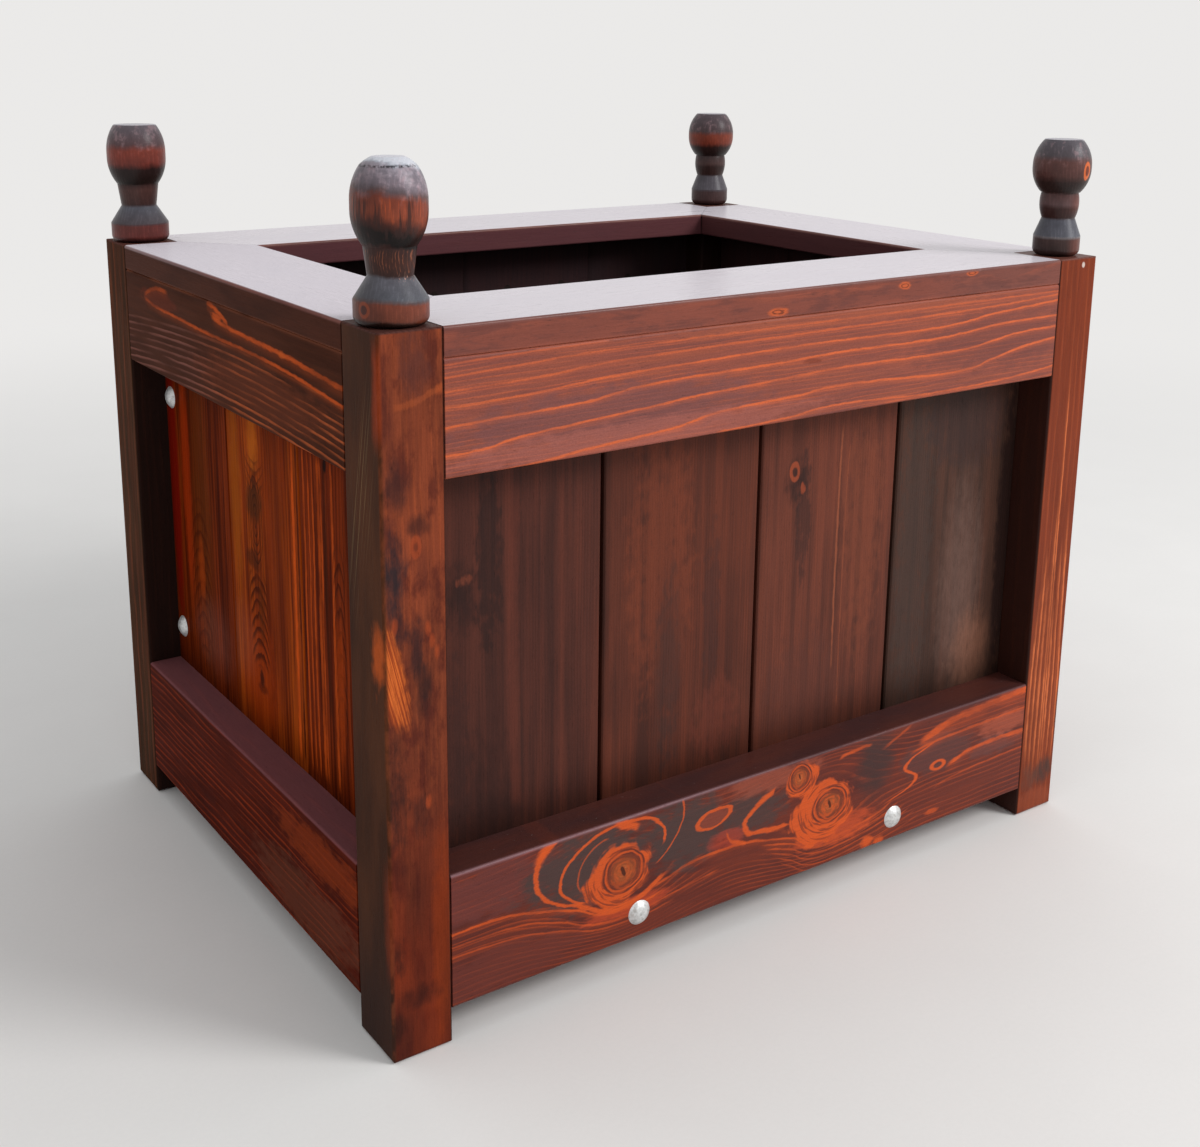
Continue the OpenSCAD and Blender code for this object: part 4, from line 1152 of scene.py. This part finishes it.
def finials():
    # the grey cone and ball top and the pale dome are partly scorched wood and partly painted sky
    # reflection
    slate = (82, 83, 90)
    pale = (202, 204, 212)
    finial("finial_front_left", 3.0, (
        (0, (24, 17, 15)), (3, (42, 24, 19)), (5, (101, 50, 35)), (16, (114, 57, 41)),
        (18, (85, 69, 69)), (20, slate), (33, (87, 85, 92)), (35.5, (52, 30, 26)),
        (45, (60, 32, 25)), (54, (52, 30, 27)), (56, (18, 11, 10)), (64, (18, 11, 9)),
        (70, (73, 35, 26)), (76, (128, 60, 39)), (88, (124, 58, 41)),
        (93, (96, 74, 74)), (98, (144, 128, 136)), (110, (148, 140, 149)),
        (111.5, (168, 170, 180)), (113, pale), (120, pale)), 9.0, mark_front_left, tilt=0.2)
    finial("finial_back_left", 8.0, (
        (0, (28, 18, 16)), (3, (60, 32, 30)), (6, (98, 46, 42)), (16, (96, 48, 44)),
        (18.5, (70, 62, 66)), (33, (78, 78, 86)), (36, (58, 38, 36)),
        (50, (74, 48, 44)), (54, (60, 38, 36)), (57, (32, 24, 22)), (70, (40, 26, 25)),
        (76, (106, 48, 40)), (88, (122, 54, 42)), (94, (84, 62, 64)),
        (108, (92, 82, 88)), (120, (100, 96, 104))), 6.0)
    finial("finial_front_right", 12.0, (
        (0, (26, 18, 17)), (3, (48, 34, 33)), (16, (66, 48, 46)), (18, (110, 104, 106)),
        (19.5, (82, 82, 90)), (34, (76, 76, 84)), (36.5, (54, 34, 32)),
        (45, (56, 34, 32)), (49, (88, 66, 66)), (58, (76, 50, 48)), (61, (38, 28, 26)),
        (70, (44, 30, 28)), (76, (78, 50, 46)), (90, (92, 60, 56)), (95, (80, 72, 76)),
        (120, (88, 84, 92))), 3.0, mark_front_right)
    finial("finial_back_right", 17.0, (
        (0, (28, 20, 18)), (3, (60, 38, 36)), (16, (70, 52, 52)), (19, (80, 76, 82)),
        (34, (74, 70, 76)), (37, (52, 36, 34)), (46, (46, 30, 28)), (50, (72, 52, 50)),
        (58, (58, 42, 42)), (61, (34, 24, 24)), (70, (44, 28, 26)), (75, (116, 52, 38)),
        (84, (120, 54, 38)), (89, (74, 58, 60)), (120, (84, 76, 82))), 6.0)


# Caps, inner timber and metal


def cap(node, axes, seed):
    """Cap board: dark on its edges, worn and scuffed on top, with a painted sheen there that shows at
    low angles.
    """
    tone = Tone((92, 60, 58), (120, 78, 72), (138, 90, 82), (146, 90, 76))
    b = Board(node, axes, seed, tone, gap=7, wave=18, lines=0.35, mottle=0.6, streaks=0.45,
              fibre=0.16)
    edge = b.below(b.z, cap_high.z - 3.5, cap_high.z - 1.0)
    edge_colour = b.blend(b.broad * 0.5, (131, 69, 55), (110, 60, 50))
    if node == "cap_front":
        grey = b.smooth(b.x, 120, 260)
        edge_colour = b.blend(grey * 0.6, edge_colour, (112, 68, 60))
        edge_colour = b.blend(b.rings * 0.5, edge_colour, (156, 80, 58))
        patch = b.smooth(b.noise(b.x / 46, b.y / 20, b.z / 9, 4, 0.65), 0.46, 0.62)
        edge_colour = b.blend(patch * 0.55, edge_colour, (92, 54, 50))
    else:
        outer = b.below(b.x, -HALF_L + 1, -HALF_L + 3)
        inner = (64, 38, 45) if node == "cap_right" else (84, 51, 59)
        edge_colour = b.blend(0.85, edge_colour, inner)
        edge_colour = b.blend(outer, edge_colour, b.blend(b.broad, (68, 35, 22), (48, 26, 18)))
    b.tint(edge * 0.9, edge_colour)
    if node == "cap_front":
        for x, z, rx, rz in ((-20, 554, 12, 4), (125, 564, 8, 4), (209, 569, 9, 3)):
            far = (square((b.x - x) / rx) + square((b.z - z) / rz)).sqrt() + b.fray * 0.7
            b.tint(b.below(far, 0.6, 1.1) * edge * 0.85, (196, 92, 50))
            b.tint(b.below((far - 0.45).abs(), 0.06, 0.16) * edge * 0.7, (84, 40, 30))
    if node in ("cap_front", "cap_left"):
        paint_light_in_seam(b, SEAM_LIGHT_FRONT if node == "cap_front" else SEAM_LIGHT_LEFT)
    across, reach = (b.x.abs() - OPEN_X, HALF_L - OPEN_X), (b.y.abs() - OPEN_Y, HALF_W - OPEN_Y)
    mitre = (across[0] / across[1] - reach[0] / reach[1]).abs() * 110
    b.tint(b.below(mitre, 0.35, 1.1) * 0.75, BLACK)
    top = 1 - edge
    scuff = b.smooth(b.noise(b.x / 14, b.y / 14, 4.0, 4, 0.65), 0.55, 0.72)
    b.tint(top * scuff * 0.18, (150, 128, 128))
    # painted sheen: the top turns pale lilac where it is seen at a low angle
    painted_sheen = b.grazing() * top
    b.tint(painted_sheen * 0.86, (228, 222, 229))
    if node == "cap_left":
        b.done(0.3, DULL, relief=0.25)
    else:
        b.done(0.3, 0.1, coat=0.1, coat_rough=0.2, relief=0.25)


def caps():
    for node, axes, seed in (("cap_front", "xyz", 8.0), ("cap_back", "xyz", 9.0),
                             ("cap_left", "yxz", 9.5), ("cap_right", "yxz", 10.5)):
        cap(node, axes, seed)


def inner_timber():
    # painted shade: the timber inside the box gets a dark tone, standing in for the shade there
    tone = Tone((36, 23, 20), (52, 32, 27), (62, 37, 30), (44, 27, 23))
    for k, corner in enumerate(("front_left", "front_right", "back_left", "back_right")):
        b = Board("batten_" + corner, "zxy", 6.0 + k, tone, gap=6)
        b.done(0.6, 0.15)
    for k, side in enumerate(("front", "back")):
        b = Board("ledger_" + side, "xzy", 5.0 + k, tone, gap=7)
        b.done(0.6, 0.15)
    for k in range(7):
        node = f"floor_slat_{k + 1}"
        b = Board(node, "yxz", 1.0 + 1.7 * k, tone, gap=9, wave=24, lines=0.5)
        b.stain(-120 + 60 * k, centre(node).x, 60, 20, (26, 18, 16), 0.7)
        b.done(0.65, 0.12)


def metal():
    """Galvanised steel: blotchy zinc with fine grain, duller where it is stained."""
    g = Graph("galvanised_steel")
    patch = g.noise(g.x / 3.2, g.y / 3.2, g.z / 3.2, 3, 0.6)
    fine = g.noise(g.x / 0.5, g.y / 0.5, g.z / 0.5, 3, 0.6)
    colour = g.ramp(patch, ((0.25, (170, 170, 168)), (0.5, (212, 213, 212)),
                            (0.75, (234, 235, 234))))
    stain = g.smooth(g.noise(g.x / 6, g.y / 6, g.z / 6 + 4, 3), 0.58, 0.7)
    colour = g.blend(stain * 0.3, colour, (140, 124, 112))
    g.set(Base_Color=g.scale_colour(colour, 1 + (fine - 0.5) * 0.2), Metallic=0.5,
          Roughness=0.42 + (patch - 0.5) * 0.35 + stain * 0.1)
    g.bump(patch * 0.5 + fine * 0.4, 0.15, 0.4)
    for node in ("rail_bolts", "panel_bolts", "bolt_washers", "bolt_nuts"):
        give(node, g.mat)


def dark_screws():
    """Blackened screws, stained over with the timber round them."""
    g = Graph("blackened_screw")
    patch = g.noise(g.x / 2, g.y / 2, g.z / 2, 3, 0.6)
    g.set(Base_Color=g.ramp(patch, ((0.3, (26, 19, 18)), (0.7, (50, 36, 32)))), Metallic=0.3,
          Specular_IOR_Level=0.2, Roughness=0.6 + (patch - 0.5) * 0.3)
    g.bump(patch, 0.1, 0.4)
    for node in ("board_screws", "batten_screws", "slat_screws"):
        give(node, g.mat)


def dowels():
    tone = Tone((166, 130, 92), (190, 154, 112), (204, 170, 128), (150, 112, 76))
    b = Board("bare_hardwood", "xzy", 4.4, tone, gap=1.4, wave=2, lines=0.5, fibre=0.12)
    b.done(0.55, 0.3, nodes=("rail_dowels", "cap_dowels", "finial_dowels", "mitre_splines"))


make_camera()
make_floor()
make_light()
top_rail_front()
bottom_rail_front()
top_rail_left()
bottom_rail_left()
plain_rails()
front_boards()
back_boards()
left_boards()
right_boards()
post_front_left()
post_front_right()
back_posts()
finials()
caps()
inner_timber()
metal()
dark_screws()
dowels()
